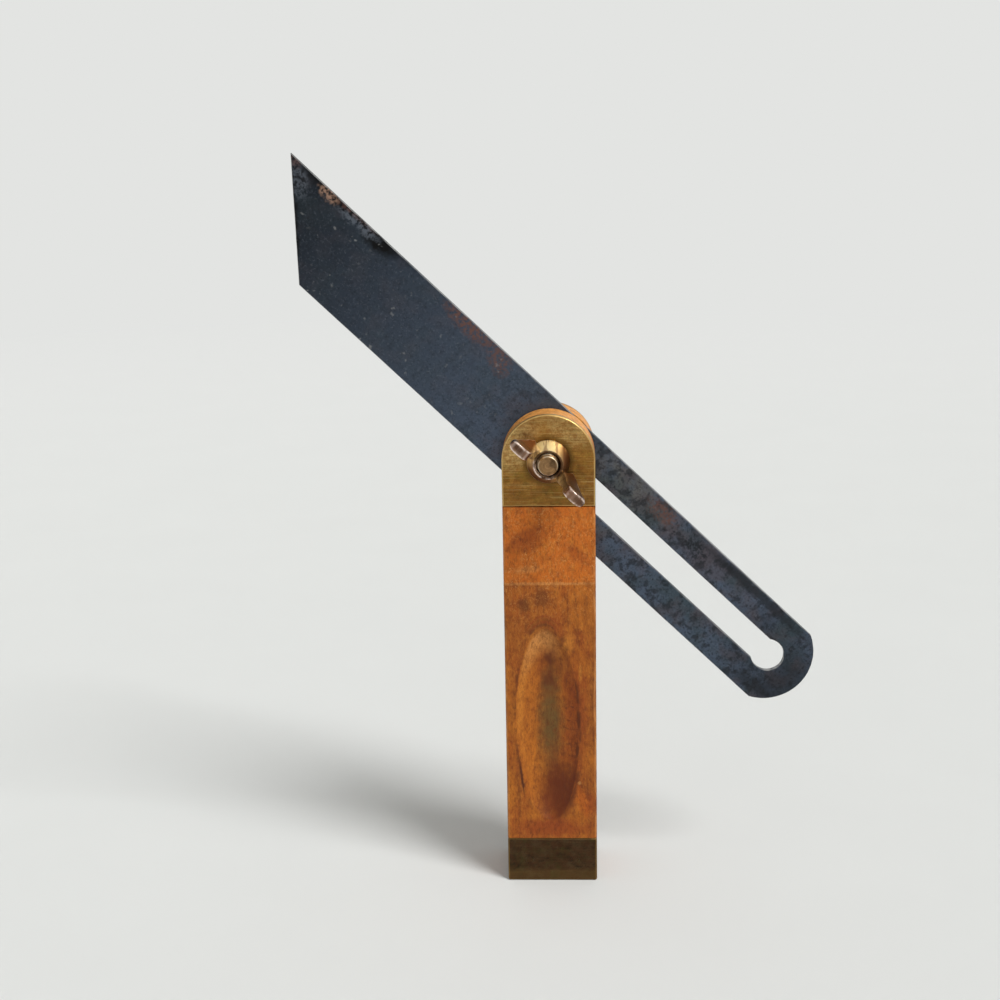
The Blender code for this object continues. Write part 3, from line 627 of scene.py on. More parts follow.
def stained_beech(s):
    """Beech, sawn and planed, stained reddish brown and rubbed by hands: fine upright flecks, soft
    streaks of gold and red, a dirty thumb hollow with a painted highlight on its upper and left walls
    and painted shade on its right wall and lower end, a painted highlight on top of the head, and a
    darker right edge."""
    # The varnish is rubbed dry and scatters more than it reflects
    material, tree, place = new_material("stained_beech", {"Specular IOR Level": 0.25})
    ragged = warped(tree, place, 0.45, 1.6)
    thin = warped(tree, place, 0.9, 0.35)

    # Soft clouds of stain about 8 mm across, longer than wide, and growth streaks 1 mm apart
    base = clouds(tree, place, s.wood_mid, (
        (s.wood_light_and_highlight, (0.13, 0.13, 0.06), 0.42, 0.62, 0.8),
        (s.wood_red_and_shade, (0.16, 0.16, 0.09), 0.50, 0.68, 0.6, 6.0),
        (s.wood_dark, (0.9, 0.9, 0.05), 0.52, 0.72, 0.45, 5.0),
    ))

    # Cleaner, oranger wood above the line scribed 88.6 mm up the front, and a painted highlight on
    # the top of the head, where light falls from above
    height = node(tree, "SeparateXYZ", {"Vector": warped(tree, place, 1.2, 0.25)}, "Z")
    forward = node(tree, "SeparateXYZ", {"Vector": place}, "Y")
    on_front = mask(tree, forward, FRONT + 2.0, FRONT + 0.4, 0.65)
    base = lay(tree, base, s.wood_upper, mask(tree, height, 78.0, 98.0, 0.45))
    base = lay(tree, base, s.wood_upper, mask(tree, height, 88.2, 88.9, 1.0, on_front))
    base = lay(tree, base, s.wood_head_highlight, mask(tree, height, 122.0, 130.0, 0.88))

    # Golden mottling 1 to 2 mm wide, and grain as fine as the picture shows
    base = clouds(tree, place, base, (
        (s.wood_gold_and_highlight, (0.60, 0.60, 0.34), 0.52, 0.68, 0.45, 8.0, 0.68),
        (s.wood_gold_and_highlight, (2.4, 2.4, 0.8), 0.50, 0.68, 0.34, 4.0, 0.75),
    ))

    # Marks on the front: a painted highlight on the hollow's left wall, painted shade on its right wall
    # and lower end, grime down its middle, smudges
    base = marks(tree, ragged, base, FRONT, 6.0, (
        (-6.2, 48.0, 1.5, 3.8, 28.0, 0.50, s.wood_light_and_highlight),
        (6.6, 48.0, 0.0, 4.4, 27.0, 0.65, s.wood_red_and_shade),
        (-0.4, 62.0, 0.0, 4.2, 14.0, 0.70, s.wood_deep_and_shade),
        (-0.3, 47.5, 1.0, 4.8, 21.0, 0.85, s.grime),
        (1.2, 28.0, 6.0, 7.0, 12.0, 0.85, s.wood_deep_and_shade),
        (1.8, 26.5, 10.0, 4.6, 10.5, 0.75, s.wood_deep_and_shade),
        (-7.1, 82.5, 10.0, 2.3, 3.0, 0.70, s.wood_dark),
        (-2.2, 84.6, -12.0, 3.1, 3.6, 0.60, s.wood_dark),
        (-0.8, 66.0, 0.0, 2.6, 2.4, 0.60, s.wood_dark),
        (-0.6, 60.0, 0.0, 2.2, 2.2, 0.60, s.wood_dark),
        (11.3, 23.2, 0.0, 2.4, 5.0, 0.60, s.wood_red_and_shade),
        (0.5, 16.0, 0.0, 13.0, 4.0, 0.80, s.wood_red_and_shade),
        (8.6, 24.5, -25.0, 2.6, 6.5, 0.45, s.wood_upper),
        (5.2, 71.5, 0.0, 2.2, 4.2, 0.45, s.wood_gold_and_highlight),
        (-6.5, 101.0, 60.0, 3.8, 7.5, 0.55, s.wood_red_and_shade),
        (7.0, 97.0, -50.0, 2.4, 6.0, 0.40, s.wood_red_and_shade),
    ))
    base = marks(tree, ragged, base, -FRONT, 6.0, (
        (0.0, 50.0, 0.0, 4.2, 21.0, 0.65, s.grime),
        (-5.0, 30.0, 8.0, 4.0, 9.0, 0.55, s.wood_deep_and_shade),
        (6.0, 92.0, 30.0, 3.0, 8.0, 0.45, s.wood_red_and_shade),
    ))

    # Rim of each hollow: a painted highlight inside it, golden on the upper and left walls and pale at
    # its upper end, dirty outside with two dark lines above it, and painted shade as a sharp dark edge
    # at the lower right
    spread = patches(tree, place, 0.25, 0.42, 0.60)
    half_sizes = (s.scoop_width / 2 / MILLIMETRE, 12.0, s.scoop_length / 2 / MILLIMETRE)
    for aside, lean, y in ((-s.scoop_aside / MILLIMETRE, -s.scoop_tilt, FRONT), (0.0, 0.0, -FRONT)):
        middle = (aside, y, s.scoop_height / MILLIMETRE)
        local, radius = oval(tree, warped(tree, place, 1.0, 0.3), middle, lean, half_sizes)
        up = node(tree, "SeparateXYZ", {"Vector": local}, "Z")
        right = node(tree, "SeparateXYZ", {"Vector": local}, "X")
        for shade, limits, upward, *others in (
            (s.wood_gold_and_highlight, (0.74, 0.86, 0.95, 1.02, 1.00), (-0.5, 0.3), mask(tree, right, 0.55, -0.1, 0.50)),
            (s.wood_dark, (1.00, 1.03, 1.05, 1.14, 0.75), (-0.95, -0.75), spread),
            (s.wood_pale_and_highlight, (0.70, 0.84, 0.94, 0.99, 0.65), (0.45, 0.85), mask(tree, right, 0.6, 0.1)),
            (s.wood_red_and_shade, (1.04, 1.055, 1.065, 1.08, 0.55), (0.90, 1.0)),
            (s.wood_red_and_shade, (1.10, 1.115, 1.125, 1.14, 0.55), (0.90, 1.0)),
            (s.wood_deep_and_shade, (0.84, 0.95, 0.985, 1.01, 0.80), (-0.25, -0.55), mask(tree, right, 0.0, 0.25)),
        ):
            base = lay(tree, base, shade, band(tree, radius, *limits), mask(tree, up, *upward), *others)

    # Thin cracks and pale scratches, and the line scribed across the front and on round the sides
    base = marks(tree, thin, base, FRONT, 4.0, (
        (-8.4, 31.6, -6.5, 0.52, 7.0, 1.00, s.wood_dark),
        (7.5, 55.5, 0.0, 0.50, 3.0, 0.45, s.wood_dark),
        (7.7, 48.6, -2.0, 0.60, 4.0, 0.80, s.wood_dark),
        (7.3, 39.5, 4.0, 0.60, 2.8, 0.80, s.wood_dark),
        (8.3, 62.5, 0.0, 0.70, 3.2, 0.55, s.wood_gold_and_highlight),
        (7.9, 29.8, 0.0, 0.70, 0.7, 0.90, s.wood_pale_and_highlight),
        (-6.0, 92.5, 84.0, 1.3, 5.0, 0.40, s.wood_pale_and_highlight),
    ))
    base = marks(tree, thin, base, FRONT, 9.0, ((0.0, 88.5, 90.0, 0.55, 26.0, 0.60, s.wood_pale_and_highlight),))

    # Short cracks across the hollow's right wall
    base = marks(tree, thin, base, FRONT, 4.0, (
        (5.0, 52.0, 82.0, 0.60, 3.4, 0.75, s.wood_dark),
        (6.0, 48.0, 96.0, 0.70, 2.6, 0.70, s.wood_dark),
        (5.0, 45.6, 88.0, 0.60, 3.6, 0.75, s.wood_dark),
        (5.9, 41.2, 78.0, 0.60, 2.8, 0.70, s.wood_dark),
        (5.0, 37.6, 94.0, 0.80, 3.4, 0.75, s.wood_dark),
    ), patches(tree, place, (0.8, 0.8, 1.4), 0.42, 0.60))

    # Darker right edge, mottling 1 to 2 mm wide, soft flecks 0.5 mm across, pale nicks in clusters
    side = node(tree, "SeparateXYZ", {"Vector": ragged}, "X")
    base = lay(tree, base, s.wood_dark, mask(tree, side, 10.8, 13.2, 0.45))
    base = clouds(tree, place, base, (
        (s.wood_deep_and_shade, (0.55, 0.55, 0.38), 0.48, 0.66, 0.60, 8.0, 0.68),
        (s.wood_deep_and_shade, (2.6, 2.6, 1.0), 0.48, 0.68, 0.42, 4.0, 0.75),
        (s.wood_dark, (1.5, 1.5, 0.6), 0.54, 0.70, 0.60, 8.0, 0.65),
    ))
    clusters = patches(tree, place, (0.2, 0.2, 0.14), 0.36, 0.56)
    nicks = patches(tree, ragged, (1.7, 1.7, 1.5), 0.52, 0.64, 1.0, 8.0, 0.72)
    base = lay(tree, base, s.wood_pale_and_highlight, nicks, clusters, mask(tree, height, 70.0, 92.0, 0.80))

    # Rubbed long edges
    from_middle = node(tree, "Math", {0: side}, operation="ABSOLUTE")
    worn = rubbed(tree, 0.0, 0.6, 1.0, mask(tree, from_middle, 9.6, 11.0))
    base = lay(tree, base, s.wood_pale_and_highlight, worn, patches(tree, place, (0.4, 0.4, 0.15), 0.36, 0.56, 0.8))
    gloss = patches(tree, place, (2.4, 2.4, 0.8), 0.3, 0.7, 0.26)
    pores = patches(tree, place, (2.4, 2.4, 0.5), 0.35, 0.65)
    return surface(material, base, 0.38, gloss, pores, 0.3, 0.00012)


def rolled_brass(name, s):
    """Rolled brass sheet, rubbed with grit across the stock and browned with age: fine level
    scratches, cloudy tarnish, a pale line where the rim is worn and a painted highlight high up."""
    material, tree, place = new_material(name, {"Metallic": 1.0})
    base = clouds(tree, place, s.brass, (
        (s.red, (0.20, 0.24, 0.26), 0.45, 0.64, 0.75, 8.0, 0.65),
        (s.green, (0.26, 0.3, 0.34), 0.47, 0.62, 0.65, 8.0, 0.65),
        (s.tarnish, (0.42, 0.4, 0.55), 0.46, 0.66, 0.85, 8.0, 0.70),
    ))

    # Painted highlight high up, strongest by the left shoulder, browner at the plate's foot and on the tip
    height = node(tree, "SeparateXYZ", {"Vector": place}, "Z")
    base = lay(tree, base, s.brass, mask(tree, height, 119.0, 130.0, 0.50))
    base = marks(tree, warped(tree, place, 0.3, 2.0), base, FRONT, 6.0, (
        (-8.5, 128.0, 30.0, 7.0, 10.0, 0.85, s.bright),
        (5.0, 132.0, -60.0, 5.0, 10.0, 0.55, s.bright),
    ))
    base = clouds(tree, place, base, ((s.red, (0.8, 0.8, 1.0), 0.42, 0.60, 0.70, 8.0, 0.70),))
    base = lay(tree, base, s.tarnish, mask(tree, height, 122.0, 111.0, s.age))

    # Scratches of fine grit, 0.2 mm apart and as long as the plate is wide, and specks of tarnish
    base = clouds(tree, place, base, (
        (s.tarnish, (0.06, 4.2, 4.2), 0.46, 0.62, s.scratched, 3.0),
        (s.bright, (0.11, 4.8, 4.8), 0.56, 0.68, s.scratched, 3.0),
        (s.tarnish, (2.4, 2.4, 3.0), 0.52, 0.66, 0.45, 3.0, 0.7),
    ))

    # Lighter foot of the tip, dirt with painted contact shadow round the nut and the screw's head,
    # worn rims
    base = lay(tree, base, s.bright, mask(tree, height, 4.2, 2.6, 0.24))
    base = lay(tree, base, s.tarnish, mask(tree, from_screw(tree, place), 7.6, 6.2, 0.8))
    base = lay(tree, base, s.bright, rubbed(tree, 0.05, 0.6, 0.65))
    scratches = patches(tree, place, (0.05, 4.6, 4.6), 0.35, 0.65, 0.24)
    return surface(material, base, 0.30, scratches, scratches, 0.4, 0.0001)


def blued_steel(s):
    """Spring steel, rolled and blued: a satin blue-grey skin with purple and teal clouds, dark
    blotches, small pale specks and reddish rust along its upper edge."""
    material, tree, place = new_material("blued_steel", {"Metallic": 0.85})
    turned = Matrix.Rotation(s.fall, 3, "Y").inverted()
    place = node(
        tree, "Mapping",
        {"Vector": place, "Rotation": (0.0, -s.fall, 0.0), "Location": -(turned @ (PIVOT / MILLIMETRE))},
    )
    ragged = warped(tree, place, 0.6, 1.4)
    face = -s.thickness / 2 / MILLIMETRE

    # X now runs along the blade from its tip at -106 mm to its round end, and Z across it
    along = node(tree, "SeparateXYZ", {"Vector": place}, "X")
    across = node(tree, "SeparateXYZ", {"Vector": place}, "Z")
    base = lay(tree, s.tip_oxide, s.blued, mask(tree, along, -100.0, 0.0))

    # Browner beside the stock and along the upper limb, darker at the round end
    base = marks(tree, warped(tree, place, 0.15, 6.0), base, face, 3.0, (
        (24.0, 8.0, 0.0, 20.0, 8.0, 0.75, s.olive),
        (22.0, -8.0, 0.0, 9.0, 6.0, 0.45, s.olive),
        (50.0, 8.5, 0.0, 30.0, 7.0, 0.60, s.purple),
        (84.0, 0.0, 0.0, 18.0, 18.0, 0.50, s.dark),
    ))

    # Clouds from 10 mm down to 1 mm across, weaker towards the tip
    mottled = node(tree, "Math", {0: mask(tree, along, -30.0, 15.0, 0.75), 1: 0.25}, operation="ADD")
    base = clouds(tree, place, base, (
        (s.teal, 0.10, 0.45, 0.62, 0.66, 5.0),
        (s.purple, 0.16, 0.48, 0.64, 0.66, 5.0),
        (s.dark, 0.50, 0.52, 0.62, 0.66, 5.0),
        (s.dark, 1.20, 0.54, 0.66, 0.66, 5.0),
    ), mottled)

    # Pits in the oxide 0.4 mm across, some paler than the skin round them and some darker
    base = clouds(tree, place, base, (
        (s.bloom, 1.3, 0.54, 0.72, 0.34, 5.0, 0.75),
        (s.black, 1.6, 0.53, 0.72, 0.60, 5.0, 0.75),
    ))

    # Corrosion in its places along the upper edge and on the limbs, solid first and then speckled
    base = marks(tree, ragged, base, face, 1.5, (
        (-84.0, 12.2, 0.0, 25.0, 2.4, 0.95, s.black),
        (-72.5, 10.6, -8.0, 6.5, 3.0, 1.0, s.black),
        (-102.0, 9.6, 20.0, 7.0, 2.6, 0.60, s.black),
        (-93.5, -0.2, 45.0, 19.0, 1.3, 0.80, s.black),
        (68.0, 10.8, 0.0, 26.0, 1.9, 0.75, s.dark),
        (88.0, -9.0, -10.0, 8.0, 3.0, 0.60, s.dark),
        (94.0, -3.0, 0.0, 9.0, 12.0, 0.60, s.dark),
    ))
    base = marks(tree, ragged, base, face, 1.5, (
        (-91.5, 11.4, 0.0, 4.2, 2.4, 1.0, s.orange_rust),
        (-82.0, 12.0, 0.0, 9.0, 1.0, 0.50, s.rust),
        (-80.0, 10.8, -3.0, 9.0, 1.8, 0.55, s.bloom),
        (-100.0, 8.5, 30.0, 7.0, 3.5, 0.40, s.bloom),
        (-40.0, 11.3, 2.0, 11.0, 3.6, 0.95, s.rust),
        (-28.0, 10.2, 40.0, 6.5, 4.0, 0.75, s.rust),
        (-104.0, 11.5, 0.0, 3.0, 2.0, 0.50, s.rust),
        (34.5, 9.4, 0.0, 6.5, 3.4, 0.80, s.rust),
        (48.6, 8.0, 0.0, 5.0, 3.6, 0.80, s.dark),
    ), patches(tree, place, 1.0, 0.44, 0.54, 1.0, 8.0, 0.7))

    # Pale specks about 0.5 mm wide where the oxide has flaked, mostly towards the tip
    cells = node(tree, "TexVoronoi", {"Vector": ragged, "Scale": 0.42}, "Distance")
    specks = mask(tree, cells, 0.24, 0.06, 0.50, mask(tree, along, 25.0, -60.0))
    base = lay(tree, base, s.bare, specks, patches(tree, place, 0.2, 0.48, 0.62))

    # Bare steel on the rubbed edges
    broken = patches(tree, place, (0.2, 0.6, 0.6), 0.35, 0.60, 0.9)
    edge = s.width / 2 / MILLIMETRE
    from_middle = node(tree, "Math", {0: across}, operation="ABSOLUTE")
    base = lay(tree, base, s.bare, rubbed(tree, 0.0, 0.4), broken)
    base = lay(tree, base, s.bare, mask(tree, from_middle, edge - 0.12, edge - 0.02, 0.45), broken)
    blotches = patches(tree, place, 0.42, 0.3, 0.7, 0.2, 6.0)
    return surface(material, base, 0.36, blotches, blotches, 0.5, 0.0003)


def dull_steel(s):
    """Turned mild steel, browned and grimy: a dull warm grey with faint rings from the lathe, brown
    clouds of rust and edges rubbed pale, which also paint the highlight on the chamfer of its end."""
    material, tree, place = new_material("dull_steel", {"Metallic": 1.0})
    rusty = patches(tree, place, 0.34, 0.42, 0.62, 0.8, 8.0, 0.62)
    # Lathe rings, 0.25 mm apart
    rings = patches(tree, from_screw(tree, place), 2.3, 0.40, 0.62, 0.5, 2.0)
    base = lay(tree, s.steel, s.stain, rusty)
    base = lay(tree, base, s.stain, rings)
    # Rubbed edges in pale steel, which also paint the highlight on the chamfer of the screw's end
    base = lay(tree, base, s.rubbed, rubbed(tree, 0.1, 0.5, 0.8))
    return surface(material, base, 0.36, mask(tree, rusty, 0.0, 1.0, 0.2), rings, 0.4, 0.00006)


def cast_brass(s):
    """Sand-cast brass with a brown skin: worn pale and bright on the edges that fingers turn, with
    filed streaks and a painted highlight on top of the boss and along its lower left rim, and painted
    shade on the boss's right and lower left, in its bore and on the lower wing."""
    material, tree, place = new_material("cast_brass", {"Metallic": 1.0})
    around = from_screw(tree, place)
    wings = mask(tree, around, 5.9, 6.9)
    base = clouds(tree, place, s.brass, ((s.patina, 0.55, 0.52, 0.68, 0.4, 6.0),))

    # The boss is filed bright on top, where a highlight is painted too, and has painted shade in brown
    # and dark on its right and lower left
    ragged = warped(tree, place, 0.8, 0.5)
    base = marks(tree, ragged, base, -13.0, 9.0, (
        (0.0, PIVOT_HEIGHT + 5.4, 0.0, 5.6, 3.2, 0.95, s.filed),
        (6.4, PIVOT_HEIGHT - 0.8, 0.0, 5.0, 6.4, 0.95, s.patina),
        (-3.4, PIVOT_HEIGHT - 4.4, 30.0, 7.0, 4.4, 0.95, s.patina),
        (6.8, PIVOT_HEIGHT - 1.2, 0.0, 3.8, 5.6, 0.70, s.dirt),
    ))
    base = marks(tree, ragged, base, -12.0, 5.0, (
        (-4.0, PIVOT_HEIGHT - 5.0, 40.0, 6.0, 3.4, 0.50, s.dirt),
    ))

    # File strokes down the boss, 1 mm apart, brown wings with dirt in their pores, painted shade in
    # the bore
    base = clouds(tree, place, base, ((s.patina, (1.0, 0.12, 0.12), 0.50, 0.58, 0.60, 2.0),))
    base = lay(tree, base, s.patina, wings)
    pores = patches(tree, place, 0.45, 0.46, 0.62, 0.60, 6.0, 0.6)
    base = lay(tree, base, s.dirt, pores, mask(tree, around, 5.9, 6.8))
    base = lay(tree, base, s.dirt, mask(tree, around, 4.15, 3.9, 0.9))

    # Flat ends of the wings, grey from handling with dirt in their middles, and painted shade on the
    # lower wing
    forward = node(tree, "SeparateXYZ", {"Vector": place}, "Y")
    ends = (NUT_BASE - s.wing_height) / MILLIMETRE
    facing = node(tree, "TexCoord", {}, "Normal")
    facing = node(tree, "VectorMath", {0: facing, 1: -Y_AXIS}, "Value", operation="DOT_PRODUCT")
    flat = mask(tree, facing, 0.6, 0.9, 0.5)
    base = lay(tree, base, s.handled, mask(tree, forward, ends + 3.0, ends + 1.0), flat)
    base = marks(tree, place, base, -18.0, 12.0, (
        (8.0, PIVOT_HEIGHT - 5.0, 42.0, 6.4, 4.0, 0.85, s.dirt),
    ))
    base = marks(tree, place, base, -28.0, 4.0, (
        (-7.6, PIVOT_HEIGHT + 7.2, 42.0, 2.6, 1.0, 0.75, s.dirt),
        (8.3, PIVOT_HEIGHT - 7.4, 42.0, 2.4, 1.0, 0.60, s.dirt),
    ))

    # Worn rims of the wings, and a painted highlight in the same pale colour along the boss's rim on
    # its lower left
    slant = node(tree, "VectorMath", {0: place, 1: (-1.0, 0.0, -1.0)}, "Value", operation="DOT_PRODUCT")
    highlight_lower_left = mask(tree, slant, 1.0 - PIVOT_HEIGHT, 3.5 - PIVOT_HEIGHT)
    rims = node(tree, "Math", {0: wings, 1: highlight_lower_left}, operation="MAXIMUM")
    worn = rubbed(tree, 0.05, 0.35, 1.0, patches(tree, place, 0.7, 0.36, 0.54))
    base = lay(tree, base, s.worn, worn, rims)

    # The file leaves the boss rougher than the wings, and most of all on its left
    side = node(tree, "SeparateXYZ", {"Vector": place}, "X")
    rougher = mask(tree, side, 5.5, 2.5, 0.24, mask(tree, around, 6.9, 5.9))
    return surface(material, base, 0.30, rougher, patches(tree, place, 2.2, 0.3, 0.7), 0.35, 0.00008)


def seen_directly(tree):
    """A mask of what the camera sees, in metal and through glass too, as against light that falls."""
    path = tree.nodes.new("ShaderNodeLightPath").outputs
    seen = path["Is Camera Ray"]
    for ray in ("Is Glossy Ray", "Is Transmission Ray"):
        seen = node(tree, "Math", {0: seen, 1: path[ray]}, operation="MAXIMUM")
    return seen


def matt_paper(s):
    """Matt paper of a photographer's sweep: plain and pale. Far from the tool it fades into an evenly
    lit backdrop, so that it looks alike from all sides."""
    material, tree, place = new_material("matt_paper", {"Roughness": 0.9})
    shader = tree.nodes["Principled BSDF"]
    fibres = node(tree, "TexNoise", {"Vector": place, "Scale": 0.02, "Detail": 3.0})
    fibres = node(tree, "MapRange", {"Value": fibres, "To Min": 0.97, "To Max": 1.0})
    paper = {"Factor": 1.0, "A": s.floor, "B": fibres}
    base = node(tree, "Mix", paper, data_type="RGBA", blend_type="MULTIPLY")
    tree.links.new(base, shader.inputs["Base Color"])
    away = node(tree, "VectorMath", {0: place}, "Value", operation="LENGTH")
    fade = mask(tree, away, s.fade_start / MILLIMETRE, s.fade_end / MILLIMETRE, 1.0, seen_directly(tree))
    backdrop = node(tree, "Emission", {"Color": s.floor, "Strength": 1.0})
    mixed = node(tree, "MixShader", {0: fade, 1: shader.outputs["BSDF"], 2: backdrop})
    tree.links.new(mixed, tree.nodes["Material Output"].inputs["Surface"])
    return material


# Operators, one for each piece or group of like pieces and one for the stage

class BEVEL_OT_stock(bpy.types.Operator):
    """Makes the wooden stock with its kerf, its hollows and the rebates for the brass"""
    bl_idname = "bevel.make_stock"
    bl_label = "Make Stock"
    bl_options = {"REGISTER", "UNDO"}

    def execute(self, context):
        s = context.scene.bevel_stock
        plate = context.scene.bevel_plate
        tip = context.scene.bevel_tip
        screw = context.scene.bevel_screw

        # Block with its rims divided and rounded
        work = bmesh.new()
        low = tip.wall + s.joint_gap
        extrude_by(work, round_headed(work, low, -FACE, 64), (0.0, 2 * FACE, 0.0))
        rims = [edge for edge in work.edges
                if abs(edge.verts[0].co.y - edge.verts[1].co.y) < MERGE_DISTANCE
                and max(vert.co.z for vert in edge.verts) > low + MERGE_DISTANCE]
        long_edges = [edge for edge in rims if edge.calc_length() > HALF_WIDTH]
        parts = bmesh.ops.subdivide_edges(work, edges=long_edges, cuts=48)["geom_split"]
        rims = dict.fromkeys(rims + [item for item in parts if isinstance(item, bmesh.types.BMEdge)])
        round_off(work, [edge for edge in rims if edge.is_valid], s.edge_round)

        # Rims rubbed away unevenly
        for vert in work.verts:
            below_face = FACE - abs(vert.co.y)
            if below_face > 2 * s.edge_round:
                continue
            rub = max(0.0, RUB_MEAN + RUB_SWING * noise.noise(vert.co * RUB_SPOTS + RUB_START))
            share = below_face / s.edge_round
            outwards = Vector((vert.co.x, 0.0, max(0.0, vert.co.z - PIVOT.z))).normalized()
            vert.co -= outwards * s.edge_wear * rub * max(0.0, 1.0 - share)
            side = -1.0 if vert.co.y > 0 else 1.0
            vert.co.y += side * s.edge_wear * rub * min(1.0, share)
        piece = add_piece("wooden_stock", work)

        # Rebates for the plates and the tip, and the kerf
        work = bmesh.new()
        wide = HALF_WIDTH + OVERRUN
        top = STOCK_TOP.z + OVERRUN
        foot = PIVOT.z - plate.below_pivot - s.joint_gap
        for side in (-1, 1):
            far = side * (FACE + OVERRUN)
            for thickness, bottom, end in (
                (plate.thickness, foot, top),
                (tip.wall, -OVERRUN, tip.height + s.joint_gap),
            ):
                seat = side * (FACE - thickness - s.joint_gap)
                add_box(work, (-wide, min(seat, far), bottom), (wide, max(seat, far), end))
        add_box(work, (-wide, -s.kerf_width / 2, s.kerf_floor), (wide, s.kerf_width / 2, top))
        carve(piece, work)

        # Thumb hollows
        work = bmesh.new()
        for side, aside, tilt in ((-1, -s.scoop_aside, -s.scoop_tilt), (1, 0.0, 0.0)):
            put(work, add_hollow(work, s, side), tilt, (aside, side * FACE, s.scoop_height))
        carve(piece, work)

        # Holes for the screw and the pins
        work = bmesh.new()
        seams = 2 * plate.pin_seam
        depth = plate.pin_length + s.joint_gap
        add_rod(work, PIVOT, screw.shank + SHANK_PLAY, THROUGH, 48)
        for side in (-1, 1):
            for x, z in pin_places(plate, screw.head):
                middle = (x, side * (FACE - depth / 2), PIVOT.z + z)
                add_rod(work, middle, plate.pin_diameter + seams, depth, 24)
            middle = (side * tip.pin_spacing / 2, 0.0, tip.height / 2)
            add_rod(work, middle, tip.pin_diameter + seams, THROUGH, 24)
        carve(piece, work)

        mark_piece_wear(piece, reach=0.00012, largest_face=0.000003)
        finish_piece(piece, stained_beech(s), "stock", ["stock"])
        return {"FINISHED"}


class BEVEL_OT_plates(bpy.types.Operator):
    """Makes the two round-headed brass plates let into the head"""
    bl_idname = "bevel.make_plates"
    bl_label = "Make Plates"
    bl_options = {"REGISTER", "UNDO"}

    def execute(self, context):
        s = context.scene.bevel_plate
        screw = context.scene.bevel_screw
        material = rolled_brass("rolled_brass", s)
        for name, side in (("front", -1), ("rear", 1)):
            work = bmesh.new()
            faces = round_headed(work, PIVOT.z - s.below_pivot, side * (FACE - s.thickness), 96)
            extrude_by(work, faces, (0.0, side * s.thickness, 0.0))
            rim = [edge for edge in work.edges
                   if all(abs(vert.co.y - side * FACE) < MERGE_DISTANCE for vert in edge.verts)]
            round_off(work, rim, s.edge_round)
            piece = add_piece(name + "_plate", work)

            # Holes for the pins and the screw's thread, or the countersink for its head
            work = bmesh.new()
            if side < 0:
                add_rod(work, PIVOT, screw.thread + THREAD_PLAY, THROUGH, 64)
            for x, z in pin_places(s, screw.head):
                middle = (x, side * FACE, PIVOT.z + z)
                add_rod(work, middle, s.pin_diameter + 2 * s.pin_seam, 4 * s.thickness, 40)
            carve(piece, work)
            if side > 0:
                head = screw.head / 2 + HEAD_PLAY
                shank = screw.shank / 2 + HEAD_PLAY
                rim_y = FACE - screw.head_rim
                cone_y = rim_y - head + shank
                top = FACE + OVERRUN
                profile = [(0.0, top), (head, top), (head, rim_y), (shank, cone_y), (0.0, cone_y)]
                carve(piece, turn_profile(profile, 96))
            mark_piece_wear(piece, reach=0.00008, largest_face=0.000008)
            finish_piece(piece, material, "stock", [name + "_bolster"])
        return {"FINISHED"}


class BEVEL_OT_plate_pins(bpy.types.Operator):
    """Makes the eight brass pins that hold the plates, filed flush"""
    bl_idname = "bevel.make_plate_pins"
    bl_label = "Make Plate Pins"
    bl_options = {"REGISTER", "UNDO"}

    def execute(self, context):
        s = context.scene.bevel_plate
        screw = context.scene.bevel_screw
        material = bpy.data.materials.get("rolled_brass") or rolled_brass("rolled_brass", s)
        for name, side in (("front", -1), ("rear", 1)):
            for number, (x, z) in enumerate(pin_places(s, screw.head), start=1):
                work = bmesh.new()
                middle = (x * -side, side * (FACE - s.pin_length / 2), PIVOT.z + z)
                add_rod(work, middle, s.pin_diameter, s.pin_length, 40)
                piece = add_piece(f"{name}_pin_{number}", work)
                finish_piece(piece, material, "stock", [f"{name}_plate_pin_{number}"])
        return {"FINISHED"}


class BEVEL_OT_butt_tip(bpy.types.Operator):
    """Makes the brass tip folded round the butt, and its two pins"""
    bl_idname = "bevel.make_butt_tip"
    bl_label = "Make Butt Tip"
    bl_options = {"REGISTER", "UNDO"}

    def execute(self, context):
        s = context.scene.bevel_tip
        seams = 2 * context.scene.bevel_plate.pin_seam
        material = rolled_brass("handled_brass", s)
        middles = [(side * s.pin_spacing / 2, 0.0, s.height / 2) for side in (-1, 1)]
        work = bmesh.new()
        add_box(work, (-HALF_WIDTH, -FACE, 0.0), (HALF_WIDTH, FACE, s.height))
        long_edges = [edge for edge in work.edges if edge.calc_length() > s.height + MERGE_DISTANCE]
        bmesh.ops.subdivide_edges(work, edges=long_edges, cuts=12, use_grid_fill=True)
        corners = [edge for edge in work.edges if edge.calc_face_angle() > SHARP_ANGLE]
        round_off(work, corners, s.edge_round)
        piece = add_piece("butt_cap", work)

        # Room for the wood, and holes for the pins
        work = bmesh.new()
        wide = HALF_WIDTH + OVERRUN
        inner = FACE - s.wall
        add_box(work, (-wide, -inner, s.wall), (wide, inner, s.height + OVERRUN))
        carve(piece, work)
        work = bmesh.new()
        for middle in middles:
            add_rod(work, middle, s.pin_diameter + seams, THROUGH, 40)
        carve(piece, work)
        mark_piece_wear(piece, reach=0.00008, largest_face=0.000008)
        finish_piece(piece, material, "stock", ["butt_tip"])

        for number, middle in enumerate(middles, start=1):
            work = bmesh.new()
            add_rod(work, middle, s.pin_diameter, 2 * FACE, 40)
            pin = add_piece(f"butt_cap_pin_{number}", work)
            finish_piece(pin, material, "stock", [f"butt_pin_{number}"])
        return {"FINISHED"}


